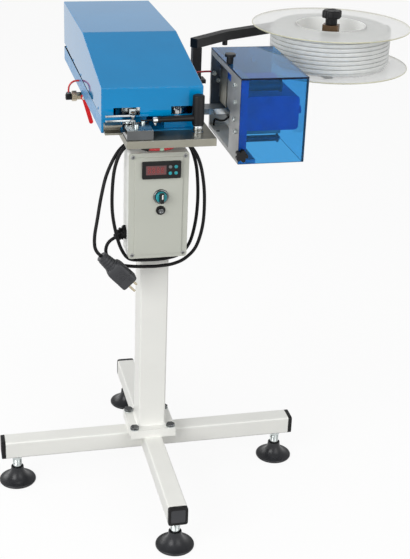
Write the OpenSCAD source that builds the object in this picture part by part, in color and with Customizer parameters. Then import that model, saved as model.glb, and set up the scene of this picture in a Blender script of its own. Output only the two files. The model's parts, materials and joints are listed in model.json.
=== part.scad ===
// Bag clipping machine on a stand: sheet-metal head with a pneumatic closing ram,
// strip reel on an arm, coder under a transparent guard and a control box on the column.
// Millimetres. Origin on the floor under the column axis, X to the right, Y to the back, Z up.

/* [Stand] */
// Distance from the column axis to each levelling foot
foot_reach = 295; // [240:1:360]
// Diameter of a foot's base
foot_d = 80; // [56:1:100]
// Height of a foot's moulded cone
foot_h = 36; // [30:1:44]
// Diameter of a foot's threaded stud
stud_d = 20; // [12:1:22]
// Floor to the underside of the legs
leg_clear = 68; // [60:1:100]
// Width of the square leg tube
leg_w = 40; // [34:1:50]
// Wall of the leg tube
leg_wall = 2.5; // [1.5:0.5:3]
// Length of a side leg past its foot axis, end cap included
side_overhang = 34; // [27:1:60]
// Length of the front and back legs past their foot axes, end cap included
front_overhang = 27; // [27:1:60]
// Thickness of each of the two base flange plates
flange_t = 10; // [6:0.5:12]
// Thread diameter of the stand's bolts
bolt_d = 10; // [8:1:12]
// Width of the square column tube
column_w = 60; // [50:1:70]
// Wall of the column tube
column_wall = 3; // [2:0.5:5]

/* [Head] */
// Floor to the work surface
work_h = 830; // [760:1:900]
// Thickness of the work plate
work_t = 15; // [14:1:20]
// Left edge of the work plate, left of the column axis
work_left = 85; // [80:1:95]
// Right edge of the work plate, right of the column axis
work_right = 87; // [82:1:92]
// Front edge of the work plate, in front of the column axis
work_front = 168; // [164:1:190]
// Back edge of the work plate, behind the column axis
work_back = 130; // [124:1:180]
// Left side of the head, left of the column axis
head_left = 124; // [120:1:130]
// Right side of the head, right of the column axis
head_right = 72; // [68:1:76]
// Front face of the head, in front of the column axis
head_front = 110; // [106:1:112]
// Back face of the head, behind the column axis
head_back = 460; // [430:1:520]
// Thickness of the tray and hood sheet
sheet_t = 2; // [1:0.5:2.5]
// Height of the tray's walls
tray_h = 30; // [26:1:34]
// Work surface to the top edge of the hood's front face
brow_h = 86; // [80:1:100]
// Work surface to the top of the hood
crown_h = 132; // [124:1:150]
// Bend between the hood's slope and its flat top, behind the column axis
ridge_y = 150; // [120:1:200]

/* [Bag closing] */
// Width of the die block
die_w = 50; // [46:1:54]
// Depth of the die block
die_d = 55; // [50:1:56]
// Height of the die block
die_h = 19; // [16:1:20]
// Stroke of the closing ram
ram_stroke = 24; // [10:1:26]
// Bore of the closing cylinder's outer tube
cylinder_d = 50; // [40:1:54]
// Length of the closing cylinder between its heads
cylinder_len = 150; // [100:1:200]
// Diameter of the feed rollers
roller_d = 26; // [20:1:28]
// Height of the gap between the bag guides
bag_gap = 11; // [8:1:12]
// Diameter of the black sleeve on the post
sleeve_d = 23; // [18:1:24]
// Height of the black sleeve on the post
sleeve_h = 58; // [40:1:70]

/* [Control box] */
// Width of the control box
box_w = 120; // [112:1:130]
// Height of the control box
box_h = 222; // [200:1:230]
// Depth of the control box's case
box_d = 56; // [50:1:60]
// Thickness of the control box's lid
lid_t = 6; // [4:1:8]
// Control box top to the underside of the work plate
box_drop = 35; // [33:1:45]
// Width of the display's bezel
bezel_w = 77; // [74:1:84]
// Height of the display's bezel
bezel_h = 35; // [32:1:40]
// Diameter of a display key
key_d = 7; // [5:0.5:8]
// Diameter of the selector switch's mounting hole
selector_d = 22; // [16:1:24]
// Diameter of the push button's mounting hole
button_d = 16; // [12:1:18]
// Diameter of the mains cord
cord_d = 7; // [6:0.5:8]

/* [Strip reel] */
// Reel axis, right of the column axis
reel_x = 435; // [425:1:460]
// Reel axis, behind the column axis
reel_y = 225; // [215:1:250]
// Work surface to the underside of the reel
reel_low = 35; // [30:1:50]
// Diameter of the reel's flanges
reel_d = 348; // [300:1:352]
// Height of the reel over its flanges
reel_h = 89; // [88:1:100]
// Thickness of a reel flange
reel_flange_t = 3; // [2:0.5:3]
// Diameter of the reel's hub
hub_d = 158; // [130:1:176]
// Diameter of the winding of clip strip
winding_d = 264; // [230:1:280]
// Turns in the winding's outer layer
winding_turns = 8; // [4:1:8]
// Height of the clip strip
strip_h = 8.4; // [6:0.1:8.5]
// Spindle diameter
spindle_d = 16; // [10:1:20]
// Width of the square reel arm
arm_w = 20; // [16:1:22]

/* [Coder] */
// Left face of the coder, right of the column axis
coder_left = 141; // [138:1:160]
// Width of the coder's guard
coder_w = 134; // [128:1:150]
// Front face of the guard, in front of the column axis
coder_front = 128; // [124:1:140]
// Back face of the coder, behind the column axis
coder_back = 122; // [116:1:124]
// Work surface to the top of the guard
coder_top = 103; // [98:1:104]
// Work surface down to the bottom edge of the guard
coder_bottom = 68; // [64:1:80]
// Thickness of the guard's acrylic sheet
acrylic_t = 4; // [3:0.5:5]
// Thickness of the coder's frame plates
coder_plate_t = 8; // [6:1:10]
// Stroke of the print head
print_stroke = 8; // [4:1:10]

/* [Hidden] */
$fn = 48;
// Clearances: a turning shaft, a seated piece, a moving face, and the overshoot of a cut
turn_gap = 0.05;
fit_gap = 0.2;
move_gap = 0.3;
cut = 1;
// Outer corner radius of a square tube, in walls
tube_round = 1.5;

paint_white = "#e6e6e0";
hood_blue = "#1f82c4";
black = "#1c1c1e";
zinc = "#c3c6c8";
steel = "#a9acae";
bright = "#d8dadc";
box_grey = "#babcb0";
red = "#c8141e";
clear_blue = "#2a62c8a0";
milky = "#eeeeeac0";
bronze = "#7d6248";

// Stand
leg_mid = leg_clear + leg_w / 2;
leg_top = leg_clear + leg_w;
cap_t = 4;
neck_wall = 3.6;
cap_insert = 8;
side_len = foot_reach + side_overhang - cap_t;
front_len = foot_reach + front_overhang - cap_t;
stud_boss_d = stud_d + 8;
stud_boss_h = 24;
stud_neck_h = 5;
rim_h = 6;
rim_step = 2;
flange_pitch = column_w + 2 * bolt_d;
flange_w = flange_pitch + 2 * bolt_d;
flange_mid_z = leg_top + flange_t;
column_z0 = flange_mid_z + flange_t;
bolt_af = 1.7 * bolt_d;
bolt_head_h = 0.64 * bolt_d;
hole_d = bolt_d + 1;
work_z0 = work_h - work_t;
head_plate_t = 12;
column_z1 = work_z0 - head_plate_t;
head_pitch_x = column_w + 4 * bolt_d;
head_pitch_y = column_w + 2 * bolt_d;
head_plate_w = head_pitch_x + 4 * bolt_d;
head_plate_d = head_pitch_y + 3 * bolt_d;
head_bolt_depth = 11;

// Head
floor_z = work_h + sheet_t;
seam_z = work_h + tray_h;
brow_z = work_h + brow_h;
crown_z = work_h + crown_h;
apron_w = 40;
window_left = [-101, 51];
window_right = [10, 41];
window_z = seam_z + 2;
window_h = 16;
inlet_y = [-82, 34];
inlet_z = seam_z + 2;
inlet_h = 18;
hood_screw_d = 6;
hood_screw_h = 2;
hood_screw_n = 5;
hood_screw_inset = 40;
left_screw_rise = 7;
right_screw_rise = 30;

// Bag closing: the closing line runs along Y through the die
close_x = -59;
die_x0 = close_x - die_w / 2;
die_y0 = 4 - work_front;
die_y1 = die_y0 + die_d;
die_z1 = work_h + die_h;
die_groove_w = 12;
die_groove_h = 7;
die_screw_d = 9;
die_screw_h = 5;
die_screws_at = [[-17, 46], [-3, 25], [14, 49]];
finger_pin = [-66, -122];
finger_pin_d = 6;
finger_z = die_z1 + 15;
finger_h = 6;
finger_t = 3;
finger_boss_d = 11;
finger_r = 110;
finger_sweep = 29;
guide_w = head_left - 4 - (work_left + 3);
guide_d = 22;
guide_t = 4;
guide_z0 = work_h + 2;
post_x = 59;
post_y = -head_front - 5 - sleeve_d / 2;
post_nut_h = 15;
post_nut_af = 17;
post_pin_d = 10;
sleeve_z0 = work_h + post_nut_h + move_gap;
arm_z = sleeve_z0 + 14;
arm_len = 80;
arm_r0 = 6.5;
arm_r1 = 5;
arm_turn = 184;
knuckle_d = 12;
feeler_d = 3;
feeler_len = 24;

// Closing cylinder, ram and feed, all standing on the tray's floor
ram_z0 = work_h + die_h + 2;
ram_h = 22;
ram_w = 40;
ram_front = -72;
ram_back = 20;
ram_punch_w = 14;
ram_punch_len = 10;
ram_rail_w = 10;
rod_d = 16;
axis_z = ram_z0 + ram_h / 2;
cylinder_head = cylinder_d + 6;
cylinder_head_t = 18;
cylinder_y0 = ram_back + ram_stroke + 40;
feed_x = 28;
feed_y = -64.5;
strip_gap = 1;
feed_pitch = roller_d + strip_gap;
feed_base_z = floor_z + 18;
roller_h = 26;
feed_shaft_d = 8;
motor_w = 56;
motor_d = 84;
motor_h = 58;
valve_w = 70;
valve_d = 110;
valve_h = 24;
coil_w = 22;
coil_h = 26;
coil_pitch = 34;

// Air valve under the tray's left edge
valve_y = 205;
valve_drop = 16;
valve_z = work_h - valve_drop;
valve_bracket_x = 18 - head_left;
bracket_t = 3;
bracket_d = 50;
bracket_reach = 20;
valve_body_d = 16;
valve_body_len = 34;
valve_hex_af = 20;
valve_hex_len = 10;
lever_x = valve_bracket_x - 10;
lever_len = 56;
lever_w = 9;
lever_t = 3;
lever_lean = 16;
lever_gap = 1.3;
stem_d = 6;
stem_len = 16;
elbow_w = 13;
hose_d = 4;
box_hose_d = 6;
cable_d = 4;

// Control box
box_y1 = -column_w / 2;
box_y0 = box_y1 - box_d;
lid_y0 = box_y0 - lid_t;
box_z1 = work_z0 - box_drop;
box_z0 = box_z1 - box_h;
box_mid = (box_z0 + box_z1) / 2;
box_r = 6;
box_wall = 3;
box_x = -7;
panel_x = -3;
display_drop = 34;
selector_drop = 90;
button_drop = 119;
display_z = box_z1 - display_drop;
selector_z = box_z1 - selector_drop;
button_z = box_z1 - button_drop;
bezel_t = 5;
window_pane = [bezel_w - 36, bezel_h - 16];
window_inset = 7;
window_depth = 1.2;
module_w = bezel_w - 6;
module_h = bezel_h - 6;
module_d = 32;
key_x = panel_x + bezel_w / 2 - 10;
key_step = 11.5;
key_rise = 6.5;
key_out = 1.6;
key_travel = 1;
key_depth = 4;
selector_ring_d = selector_d + 5;
selector_ring_t = 4;
selector_body_d = 40;
knob_d = selector_d - 2;
knob_t = 5;
knob_bar_w = 7;
knob_bar_h = 8;
button_ring_d = button_d + 3;
button_ring_t = 3;
button_cap_d = button_d - 5;
button_out = 4;
button_travel = 2.5;
button_depth = 14;
lid_step = lid_t / 3;
lid_strip = [12, 9];
lid_screw_inset = 8;
lid_screw_d = 7;
lid_screw_h = 1.5;
gland_y = (box_y0 + box_y1) / 2;
gland_rise = 45.2;
gland_z = box_z0 + gland_rise;
gland_hex_af = 20;
gland_hex_len = 8;
gland_tail = 18.3;
gland_turn = 30;
gland_d0 = 17;
gland_d1 = cord_d + 3;
gland_way = [-cos(gland_turn), 0, -sin(gland_turn)];
gland_root = [box_x - box_w / 2 - gland_d0 / 2 * sin(gland_turn) - fit_gap, gland_y, gland_z];
gland_tip = gland_root + gland_tail * gland_way;

// Strip reel
reel_z0 = work_h + reel_low;
reel_z1 = reel_z0 + reel_h;
hub_wall = 4;
hub_boss_d = spindle_d + 12;
web_t = 5;
web_drop = 39;
web_z = reel_z1 - web_drop - web_t;
strip_t = 5;
strip_gap_z = 0.8;
strip_pitch = strip_h + strip_gap_z;
strip_r = winding_d / 2 - strip_t / 2;
strip_rings = 24;
strip_sides = 6;
core_gap = 0.4;
arm_drop = 12;
arm_z1 = reel_z0 - arm_drop;
arm_z0 = arm_z1 - arm_w;
arm_high = 90;
reel_post = [142, 262];
reel_bend = [222, 326];
reel_corner = [reel_x, reel_y + reel_d / 2 + 37];
spindle_base_d = 44;
spindle_base_h = arm_drop - move_gap;
spacer_af = 35;
spacer_h = 38;
star_d = 44;
star_h = 17;
star_hub_h = 14;
star_z = web_z + web_t + move_gap + spacer_h + move_gap;
foot_plate_t = 8;
clamp_d = 12;
clamp_len = 12;

// Coder
coder_right = coder_left + coder_w;
coder_z0 = work_h - coder_bottom;
coder_z1 = work_h + coder_top;
coder_floor = coder_z0 + coder_plate_t;
inner_top = coder_z1 - acrylic_t;
inner_front = acrylic_t - coder_front;
inner_right = coder_right - acrylic_t;
back_plate_y = coder_back - coder_plate_t;
base_plate_w = 36;
side_plate_d = 74;
side_plate_t = 16;
top_strip_t = 10;
side_x = coder_left;
stud_x = side_x + 5;
bracket_bar_d = 40;
bracket_bar_t = 12;
bracket_bar_x0 = column_w / 2 + 5;
anvil_x0 = base_plate_w + coder_left;
anvil_w = 80;
anvil_front = -20;
anvil_t = 12;
anvil_gap = 15;
anvil_top = work_z0 - anvil_gap;
rail_w = 14;
rail_t = 10;
rail_x = coder_left + 26;
rail_z0 = work_z0;
head_z0 = anvil_top + anvil_gap;
head_z1 = inner_top - 38;
head_x0 = side_x + side_plate_t + 2;
head_x1 = inner_right - 6;
head_y0 = inner_front + 16;
head_y1 = 62;
head_round = 8;
type_t = 8;
type_inset = 12;
carriage_w = rail_w + 16;
carriage_z0 = head_z0 + print_stroke + type_t;
head_knob_d = 16;
head_knob_len = 5;
head_knob_y = head_y0 + 10;
head_knob_z = head_z1 - 30;
foil_pin_d = 8;
foil_y = -88;
supply_z = inner_top - 22;
takeup_z = coder_floor + 31;
supply_d = 20;
supply_rim_d = 26;
takeup_d = 13;
takeup_rim_d = 18;
foil_len = 74;
foil_rim_t = 3;
front_knob_z = coder_floor + 12;
top_knob_y = -15;
guard_stud_d = 6;
guard_stud_len = 14;
lobe_knob_d = 25;
lobe_knob_t = 12;
thumb_d = 22;
thumb_h = 20;

// Route of the mains cord: out of the gland, twice round the control box, down to the plug.
// Its heights are measured from the top of the box
cord_points = [
  [-99.2, -58, -193.9], [-103.7, -58.3, -199.7], [-106.4, -58.8, -206.5], [-107.4, -59.5, -213.7],
  [-106.4, -60.5, -221], [-103.6, -61.5, -227.7], [-99.2, -62.5, -233.5], [-93.4, -63.5, -238],
  [-85.1, -64.5, -242], [-72.5, -65.5, -245.8], [-53, -67, -248.5], [-28, -69, -249.7],
  [0, -71, -249.2], [30, -71, -246], [55, -71, -235], [76, -72, -211], [88, -72, -170],
  [91, -72, -125], [88, -72, -75], [78, -71, -28], [59, -69, 4], [28, -67, 20], [-12, -66, 24],
  [-48, -67, 19], [-76, -70, 2], [-91, -73, -30], [-97, -76, -75], [-97, -78, -125],
  [-89, -79, -172], [-77, -76, -208], [-59, -64, -233], [-27, -55, -241], [14, -52, -242],
  [46, -52, -234], [66, -53, -211], [77, -53, -170], [81, -54, -120], [79, -54, -68],
  [72, -55, -28], [57, -56, 3], [24, -57, 17], [-20, -57, 19], [-56, -58, 15], [-83, -62, -3],
  [-106, -68, -45], [-119, -76, -90], [-128, -84, -135], [-133.5, -89, -162], [-135, -91.5, -176],
  [-135, -92.7, -183], [-134.5, -93.7, -189.7], [-132.9, -94.5, -195.1], [-130.3, -95, -200.2],
  [-126.8, -95, -204.7], [-122, -95, -209.8]
];
cord_route = concat(
  [gland_tip, gland_tip + cord_d * gland_way],
  [for (p = cord_points) p + [0, 0, box_z1]]
);
cord_steps = 2;
cord_sides = 8;
plug_turn = 46.5;
plug_tail = 46;
plug_grip = 32;
plug_face = 6;
plug_d0 = 22;
plug_d1 = 37;
pin_d = 4.8;
pin_len = 19;
pin_pitch = 19;

// Routes of the red air hoses
valve_hose_x = valve_bracket_x - valve_body_len - elbow_w / 2;
valve_hose = [
  [valve_hose_x, valve_y, valve_z + elbow_w / 2], [valve_hose_x, valve_y, work_h - 1],
  [valve_hose_x + 1.4, valve_y, work_h + 5.9], [valve_hose_x + 5.3, valve_y, work_h + 11.7],
  [valve_hose_x + 11.1, valve_y, work_h + 15.6], [valve_hose_x + 18, valve_y, work_h + 17],
  [-head_left, valve_y, work_h + 17]
];
coder_hose = [
  [head_right, 116, seam_z + 18], [head_right + 10, 116, seam_z + 18],
  [head_right + 24, 116.5, seam_z + 20], [coder_left - 29, 117.5, seam_z + 22],
  [coder_left - 13, 118, seam_z + 23], [coder_left, 118, seam_z + 23]
];
box_hose_y = -86;
box_hose_x = [-50, 32];
function box_hose_end(x, way) = [
  for (p = [[0, 30], [1.8, 20.8], [7, 13], [14.8, 7.8], [24, 6]]) [x + way * p[0], box_hose_y, box_z1 + p[1]]
];
box_hose = concat(
  [[box_hose_x[0], box_hose_y, work_z0]],
  box_hose_end(box_hose_x[0], 1),
  [[(box_hose_x[0] + box_hose_x[1]) / 2, box_hose_y, box_z1 + 5.5]],
  [for (i = [4 : -1 : 0]) box_hose_end(box_hose_x[1], -1)[i]],
  [[box_hose_x[1], box_hose_y, work_z0]]
);
lead_rise = 64;
coder_lead = concat(
  [for (p = [
    [7, -18, 0], [7, -18, 4], [7, -21, 11], [7, -28, 16.5], [7, -42, 20],
    [7, -72, 27], [6.5, -106, 38], [6, -134, 51], [6, -152, 60]
  ]) [coder_left, coder_back, coder_floor] + p],
  [for (y = [8, 0]) [stud_x + 1, inner_front + side_plate_d + y, coder_floor + lead_rise]]
);
hose_steps = 3;
hose_sides = 8;

// Curves and tubes
function unit(v) = v / norm(v);
function spline(p, i, t) =
  let (a = p[max(i - 1, 0)], b = p[i], c = p[i + 1], d = p[min(i + 2, len(p) - 1)])
  0.5 * (2 * b + (c - a) * t + (2 * a - 5 * b + 4 * c - d) * t * t + (3 * b - a - 3 * c + d) * t * t * t);
function smooth(p, steps) = concat(
  [for (i = [0 : len(p) - 2], k = [0 : steps - 1]) spline(p, i, k / steps)],
  [p[len(p) - 1]]
);
function tangent(p, i) =
  let (j = min(i, len(p) - 1))
  unit(p[min(j + 1, len(p) - 1)] - p[max(j - 1, 0)]);
function square_to(v, t) = unit(v - (v * t) * t);
function carried_normals(p, first) = [
  for (i = 0, n = square_to(first, tangent(p, 0)); i < len(p); i = i + 1, n = square_to(n, tangent(p, i))) n
];
function tube_points(p, normals, r_n, r_b, sides) = [
  for (i = [0 : len(p) - 1], k = [0 : sides - 1])
    let (n = normals[i], b = cross(tangent(p, i), n), a = 360 * k / sides)
    p[i] + r_n * cos(a) * n + r_b * sin(a) * b
];
function tube_faces(rings, sides) = concat(
  [for (k = [1 : sides - 2]) [0, k, k + 1]],
  [for (i = [0 : rings - 2], k = [0 : sides - 1], half = [0, 1])
    let (a = i * sides + k, b = i * sides + (k + 1) % sides)
    half == 0 ? [a, a + sides, b + sides] : [a, b + sides, b]],
  [for (k = [1 : sides - 2], e = [(rings - 1) * sides]) [e, e + k + 1, e + k]]
);
// Least distance between two stretches of a curve that lie more than skip points apart
function least_distance(p, skip) = min(
  [for (i = [0 : len(p) - 1 - skip]) min([for (j = [i + skip : len(p) - 1]) norm(p[i] - p[j])])]
);
function route_length(p, i = 0) = i > len(p) - 2 ? 0 : norm(p[i + 1] - p[i]) + route_length(p, i + 1);

module tube(p, normals, r_n, r_b, sides) {
  polyhedron(points = tube_points(p, normals, r_n, r_b, sides), faces = tube_faces(len(p), sides));
}
module hose(route, d, steps, sides, first = [0, 1, 0]) {
  p = smooth(route, steps);
  tube(p, carried_normals(p, first), d / 2, d / 2, sides);
}

// Simple shapes between two corners or along one axis
module block(lo, hi) {
  translate(lo) cube(hi - lo);
}
module rod_x(p, length, d) {
  translate(p) rotate([0, 90, 0]) cylinder(h = length, d = d);
}
module rod_y(p, length, d) {
  translate(p) rotate([-90, 0, 0]) cylinder(h = length, d = d);
}
module rod_z(p, length, d) {
  translate(p) cylinder(h = length, d = d);
}
module hex_z(p, length, af) {
  translate(p) cylinder(h = length, d = af / cos(30), $fn = 6);
}
module rounded(w, h, r) {
  square([w - 2 * r, h], center = true);
  square([w, h - 2 * r], center = true);
  for (x = [-1, 1], y = [-1, 1]) translate([x * (w / 2 - r), y * (h / 2 - r)]) circle(r = r);
}
module upright_panel(y0, y1, x, z, w, h, r) {
  translate([x, y1, z]) rotate([90, 0, 0]) linear_extrude(y1 - y0) rounded(w, h, r);
}
// Square tube along Z with rolled corners
module square_tube(w, wall, length) {
  linear_extrude(length) difference() {
    rounded(w, w, tube_round * wall);
    rounded(w - 2 * wall, w - 2 * wall, wall / 2);
  }
}
// Bar of width w along a plan route, mitred at its bends and running w / 2 past its ends
function side_of(v) = [-v[1], v[0]];
function mitre(p, i) =
  let (last = len(p) - 1, into = unit(p[max(i, 1)] - p[max(i, 1) - 1]),
    away = unit(p[min(i, last - 1) + 1] - p[min(i, last - 1)]))
  (side_of(into) + side_of(away)) / (1 + into * away);
module flat_bar(p, w, z0, z1) {
  last = len(p) - 1;
  half = w / 2;
  run = concat(
    [p[0] - half * unit(p[1] - p[0])],
    [for (i = [1 : last - 1]) p[i]],
    [p[last] + half * unit(p[last] - p[last - 1])]
  );
  translate([0, 0, z0]) linear_extrude(z1 - z0) polygon(concat(
    [for (i = [0 : last]) run[i] + half * mitre(p, i)],
    [for (i = [last : -1 : 0]) run[i] - half * mitre(p, i)]
  ));
}
module at_corners(pitch_x, pitch_y) {
  for (x = [-1, 1], y = [-1, 1]) translate([x * pitch_x / 2, y * pitch_y / 2, 0]) children();
}
module at_legs() {
  for (a = [0 : 90 : 270]) rotate([0, 0, a]) children();
}
// Star or lobed grip standing on the XY plane
module lobed_grip(d, h, lobes) {
  lobe = d * 0.17;
  cylinder(h = h, d = d - 2 * lobe);
  for (i = [0 : lobes - 1]) rotate([0, 0, 360 * i / lobes])
    translate([d / 2 - lobe, 0, 0]) cylinder(h = h, r = lobe);
}

// Stand
module leg_tube(x0, x1) {
  translate([x0, 0, leg_mid]) rotate([0, 90, 0]) square_tube(leg_w, leg_wall, x1 - x0);
}
module leg_cross() {
  color(paint_white) difference() {
    union() {
      leg_tube(-side_len, side_len);
      for (a = [90, 270]) rotate([0, 0, a]) leg_tube(leg_w / 2 - leg_wall, front_len);
      block([-flange_w / 2, -flange_w / 2, leg_top], [flange_w / 2, flange_w / 2, flange_mid_z]);
      at_legs() rod_z([foot_reach, 0, leg_clear], stud_boss_h, stud_boss_d);
    }
    at_legs() rod_z([foot_reach, 0, leg_clear - cut], stud_boss_h + 2 * cut, stud_d + 2 * turn_gap);
    at_corners(flange_pitch, flange_pitch)
      rod_z([0, 0, leg_top - cut], flange_t + 2 * cut, bolt_d + 2 * turn_gap);
  }
}
module leg_cap(reach) {
  inside = leg_w - 2 * leg_wall - 2 * fit_gap;
  translate([reach, 0, leg_mid]) rotate([0, 90, 0]) {
    linear_extrude(cap_t) rounded(leg_w, leg_w, tube_round * leg_wall);
    translate([0, 0, -cap_insert]) linear_extrude(cap_insert) rounded(inside, inside, leg_wall / 2);
  }
}
module leg_caps() {
  color(black) {
    for (a = [0, 180]) rotate([0, 0, a]) leg_cap(side_len);
    for (a = [90, 270]) rotate([0, 0, a]) leg_cap(front_len);
  }
}
// Flared foot: a quarter ellipse from the rim up to the neck, then the stud
module foot(turn) {
  rim = foot_d / 2;
  neck = stud_d / 2 + neck_wall;
  flare = [
    for (a = [90 : -15 : 0])
      [rim - rim_step - (rim - rim_step - neck) * cos(a), foot_h - (foot_h - rim_h) * sin(a)]
  ];
  rotate([0, 0, turn]) translate([foot_reach, 0, 0]) {
    color(black) rotate_extrude() polygon(concat(
      [[0, 0], [rim - rim_step, 0], [rim, rim_step], [rim, rim_h - rim_step]], flare, [[0, foot_h]]
    ));
    color(zinc) {
      rod_z([0, 0, foot_h], stud_neck_h, stud_d - 4);
      rod_z([0, 0, foot_h + stud_neck_h], leg_clear + stud_boss_h - foot_h - stud_neck_h, stud_d);
    }
  }
}
module foot_front() { foot(270); }
module foot_right() { foot(0); }
module foot_back() { foot(90); }
module foot_left() { foot(180); }
module base_flange() {
  color(paint_white) difference() {
    block([-flange_w / 2, -flange_w / 2, flange_mid_z], [flange_w / 2, flange_w / 2, column_z0]);
    at_corners(flange_pitch, flange_pitch) rod_z([0, 0, flange_mid_z - cut], flange_t + 2 * cut, hole_d);
  }
}
module stand_bolts() {
  color(zinc) {
    at_corners(flange_pitch, flange_pitch) {
      hex_z([0, 0, column_z0], bolt_head_h, bolt_af);
      rod_z([0, 0, leg_top], column_z0 - leg_top, bolt_d);
    }
    at_corners(head_pitch_x, head_pitch_y) {
      hex_z([0, 0, column_z1 - bolt_head_h], bolt_head_h, bolt_af);
      rod_z([0, 0, column_z1], head_plate_t + head_bolt_depth - 1, bolt_d);
    }
  }
}
module column() {
  color(paint_white) translate([0, 0, column_z0])
    square_tube(column_w, column_wall, column_z1 - column_z0);
}
module column_head() {
  color(paint_white) difference() {
    block([-head_plate_w / 2, -head_plate_d / 2, column_z1], [head_plate_w / 2, head_plate_d / 2, work_z0]);
    at_corners(head_pitch_x, head_pitch_y) rod_z([0, 0, column_z1 - cut], head_plate_t + 2 * cut, hole_d);
  }
}

// Head
module work_plate() {
  color(steel) difference() {
    block([-work_left, -work_front, work_z0], [work_right, work_back, work_h]);
    at_corners(head_pitch_x, head_pitch_y)
      rod_z([0, 0, work_z0 - cut], head_bolt_depth + cut, bolt_d + 2 * turn_gap);
  }
}
module body_tray() {
  front = sheet_t - head_front;
  color(hood_blue) difference() {
    block([-head_left, front, work_h], [head_right, head_back, seam_z]);
    block([sheet_t - head_left, front - cut, floor_z],
      [head_right - sheet_t, head_back - sheet_t, seam_z + cut]);
  }
}
module hood_profile(inset) {
  slope = atan2(crown_z - brow_z, ridge_y + head_front);
  rise = inset / cos(slope);
  turn = inset * tan(slope / 2);
  front = inset - head_front;
  polygon([
    [front, seam_z - (inset > 0 ? cut : 0)],
    [front, brow_z - rise + inset * tan(slope)],
    [ridge_y + turn, crown_z - inset],
    [head_back - inset, crown_z - inset],
    [head_back - inset, seam_z - (inset > 0 ? cut : 0)]
  ]);
}
module along_x(x0, x1) {
  translate([x0, 0, 0]) rotate([90, 0, 90]) linear_extrude(x1 - x0) children();
}
module hood() {
  color(hood_blue) difference() {
    union() {
      difference() {
        along_x(-head_left, head_right) hood_profile(0);
        along_x(sheet_t - head_left, head_right - sheet_t) hood_profile(sheet_t);
      }
      block([-head_left, -head_front, work_h], [apron_w - head_left, sheet_t - head_front, seam_z + cut]);
    }
    for (w = [window_left, window_right])
      block([w[0], -head_front - cut, window_z],
        [w[0] + w[1], sheet_t + cut - head_front, window_z + window_h]);
    block([head_right - sheet_t - cut, inlet_y[0], inlet_z],
      [head_right + cut, inlet_y[0] + inlet_y[1], inlet_z + inlet_h]);
  }
}
// Screws of the hood's sides and of the control box's lid
module cover_screws() {
  span = head_back + head_front - 2 * hood_screw_inset;
  color(bright) {
    for (i = [0 : hood_screw_n - 1]) {
      y = hood_screw_inset - head_front + span * i / (hood_screw_n - 1);
      rod_x([-head_left - hood_screw_h, y, seam_z + left_screw_rise], hood_screw_h, hood_screw_d);
      rod_x([head_right, y, seam_z + right_screw_rise], hood_screw_h, hood_screw_d);
    }
    translate([box_x, lid_y0 + lid_step - lid_screw_h, box_mid]) for (x = [-1, 1], z = [-1, 1])
      rod_y([x * (box_w / 2 - lid_screw_inset), 0, z * (box_h / 2 - lid_screw_inset)],
        lid_screw_h, lid_screw_d);
  }
}

// Closing cylinder, ram and feed inside the head
module air_cylinder() {
  y1 = cylinder_y0 + cylinder_head_t;
  color(bright) difference() {
    union() {
      rod_y([close_x, y1, axis_z], cylinder_len, cylinder_d);
      for (y = [cylinder_y0, y1 + cylinder_len])
        block([close_x - cylinder_head / 2, y, floor_z],
          [close_x + cylinder_head / 2, y + cylinder_head_t, axis_z + cylinder_head / 2]);
    }
    rod_y([close_x, cylinder_y0 - cut, axis_z], cylinder_head_t + ram_stroke + 20, rod_d + 2 * turn_gap);
  }
}
module closing_ram() {
  z1 = ram_z0 + ram_h;
  color(bright) {
    difference() {
      block([close_x - ram_w / 2, ram_front, ram_z0], [close_x + ram_w / 2, ram_back, z1]);
      for (y = [ram_front + 24, ram_back - 24]) rod_z([close_x, y, z1 - 6], 6 + cut, 10);
    }
    block([close_x - ram_punch_w / 2, ram_front - ram_punch_len, ram_z0],
      [close_x + ram_punch_w / 2, ram_front, z1 - 6]);
    rod_y([close_x, ram_back, axis_z],
      cylinder_y0 + cylinder_head_t + ram_stroke + 10 - ram_back - ram_stroke, rod_d);
  }
}
module ram_guide() {
  inner = ram_w / 2 + move_gap;
  y0 = ram_front + 8;
  color(steel) difference() {
    block([close_x - inner - ram_rail_w, y0, floor_z],
      [close_x + inner + ram_rail_w, ram_back - 6, axis_z]);
    block([close_x - inner, y0 - cut, ram_z0 - move_gap], [close_x + inner, ram_back, axis_z + cut]);
  }
}
module feed_unit() {
  y0 = feed_y - feed_pitch / 2 - roller_d / 2 - 4;
  y1 = feed_y + feed_pitch / 2 + roller_d / 2 + 4;
  color(steel) {
    block([feed_x - motor_w / 2, y0, floor_z], [feed_x + motor_w / 2, y1, feed_base_z]);
    for (s = [-1, 1]) rod_z([feed_x, feed_y + s * feed_pitch / 2, feed_base_z], roller_h + 6, feed_shaft_d);
  }
  color(black) {
    block([feed_x - motor_w / 2, y1, floor_z], [feed_x + motor_w / 2, y1 + 16, floor_z + motor_h]);
    rod_y([feed_x, y1 + 16, floor_z + motor_h / 2], motor_d, motor_h - 6);
  }
}
module feed_roller(side) {
  bore = feed_shaft_d + 2 * turn_gap;
  color(bright) translate([feed_x, feed_y + side * feed_pitch / 2, feed_base_z + move_gap]) difference() {
    union() {
      cylinder(h = roller_h, d = roller_d);
      translate([0, 0, roller_h]) cylinder(h = 3, d = feed_shaft_d + 8);
    }
    translate([0, 0, -cut]) cylinder(h = roller_h + 3 + 2 * cut, d = bore);
    for (z = [7, roller_h - 7]) translate([0, 0, z - 1]) difference() {
      cylinder(h = 2, d = roller_d + 2);
      translate([0, 0, -cut]) cylinder(h = 2 + 2 * cut, d = roller_d - 3);
    }
  }
}
module drive_roller() { feed_roller(-1); }
module pinch_roller() { feed_roller(1); }
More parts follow.
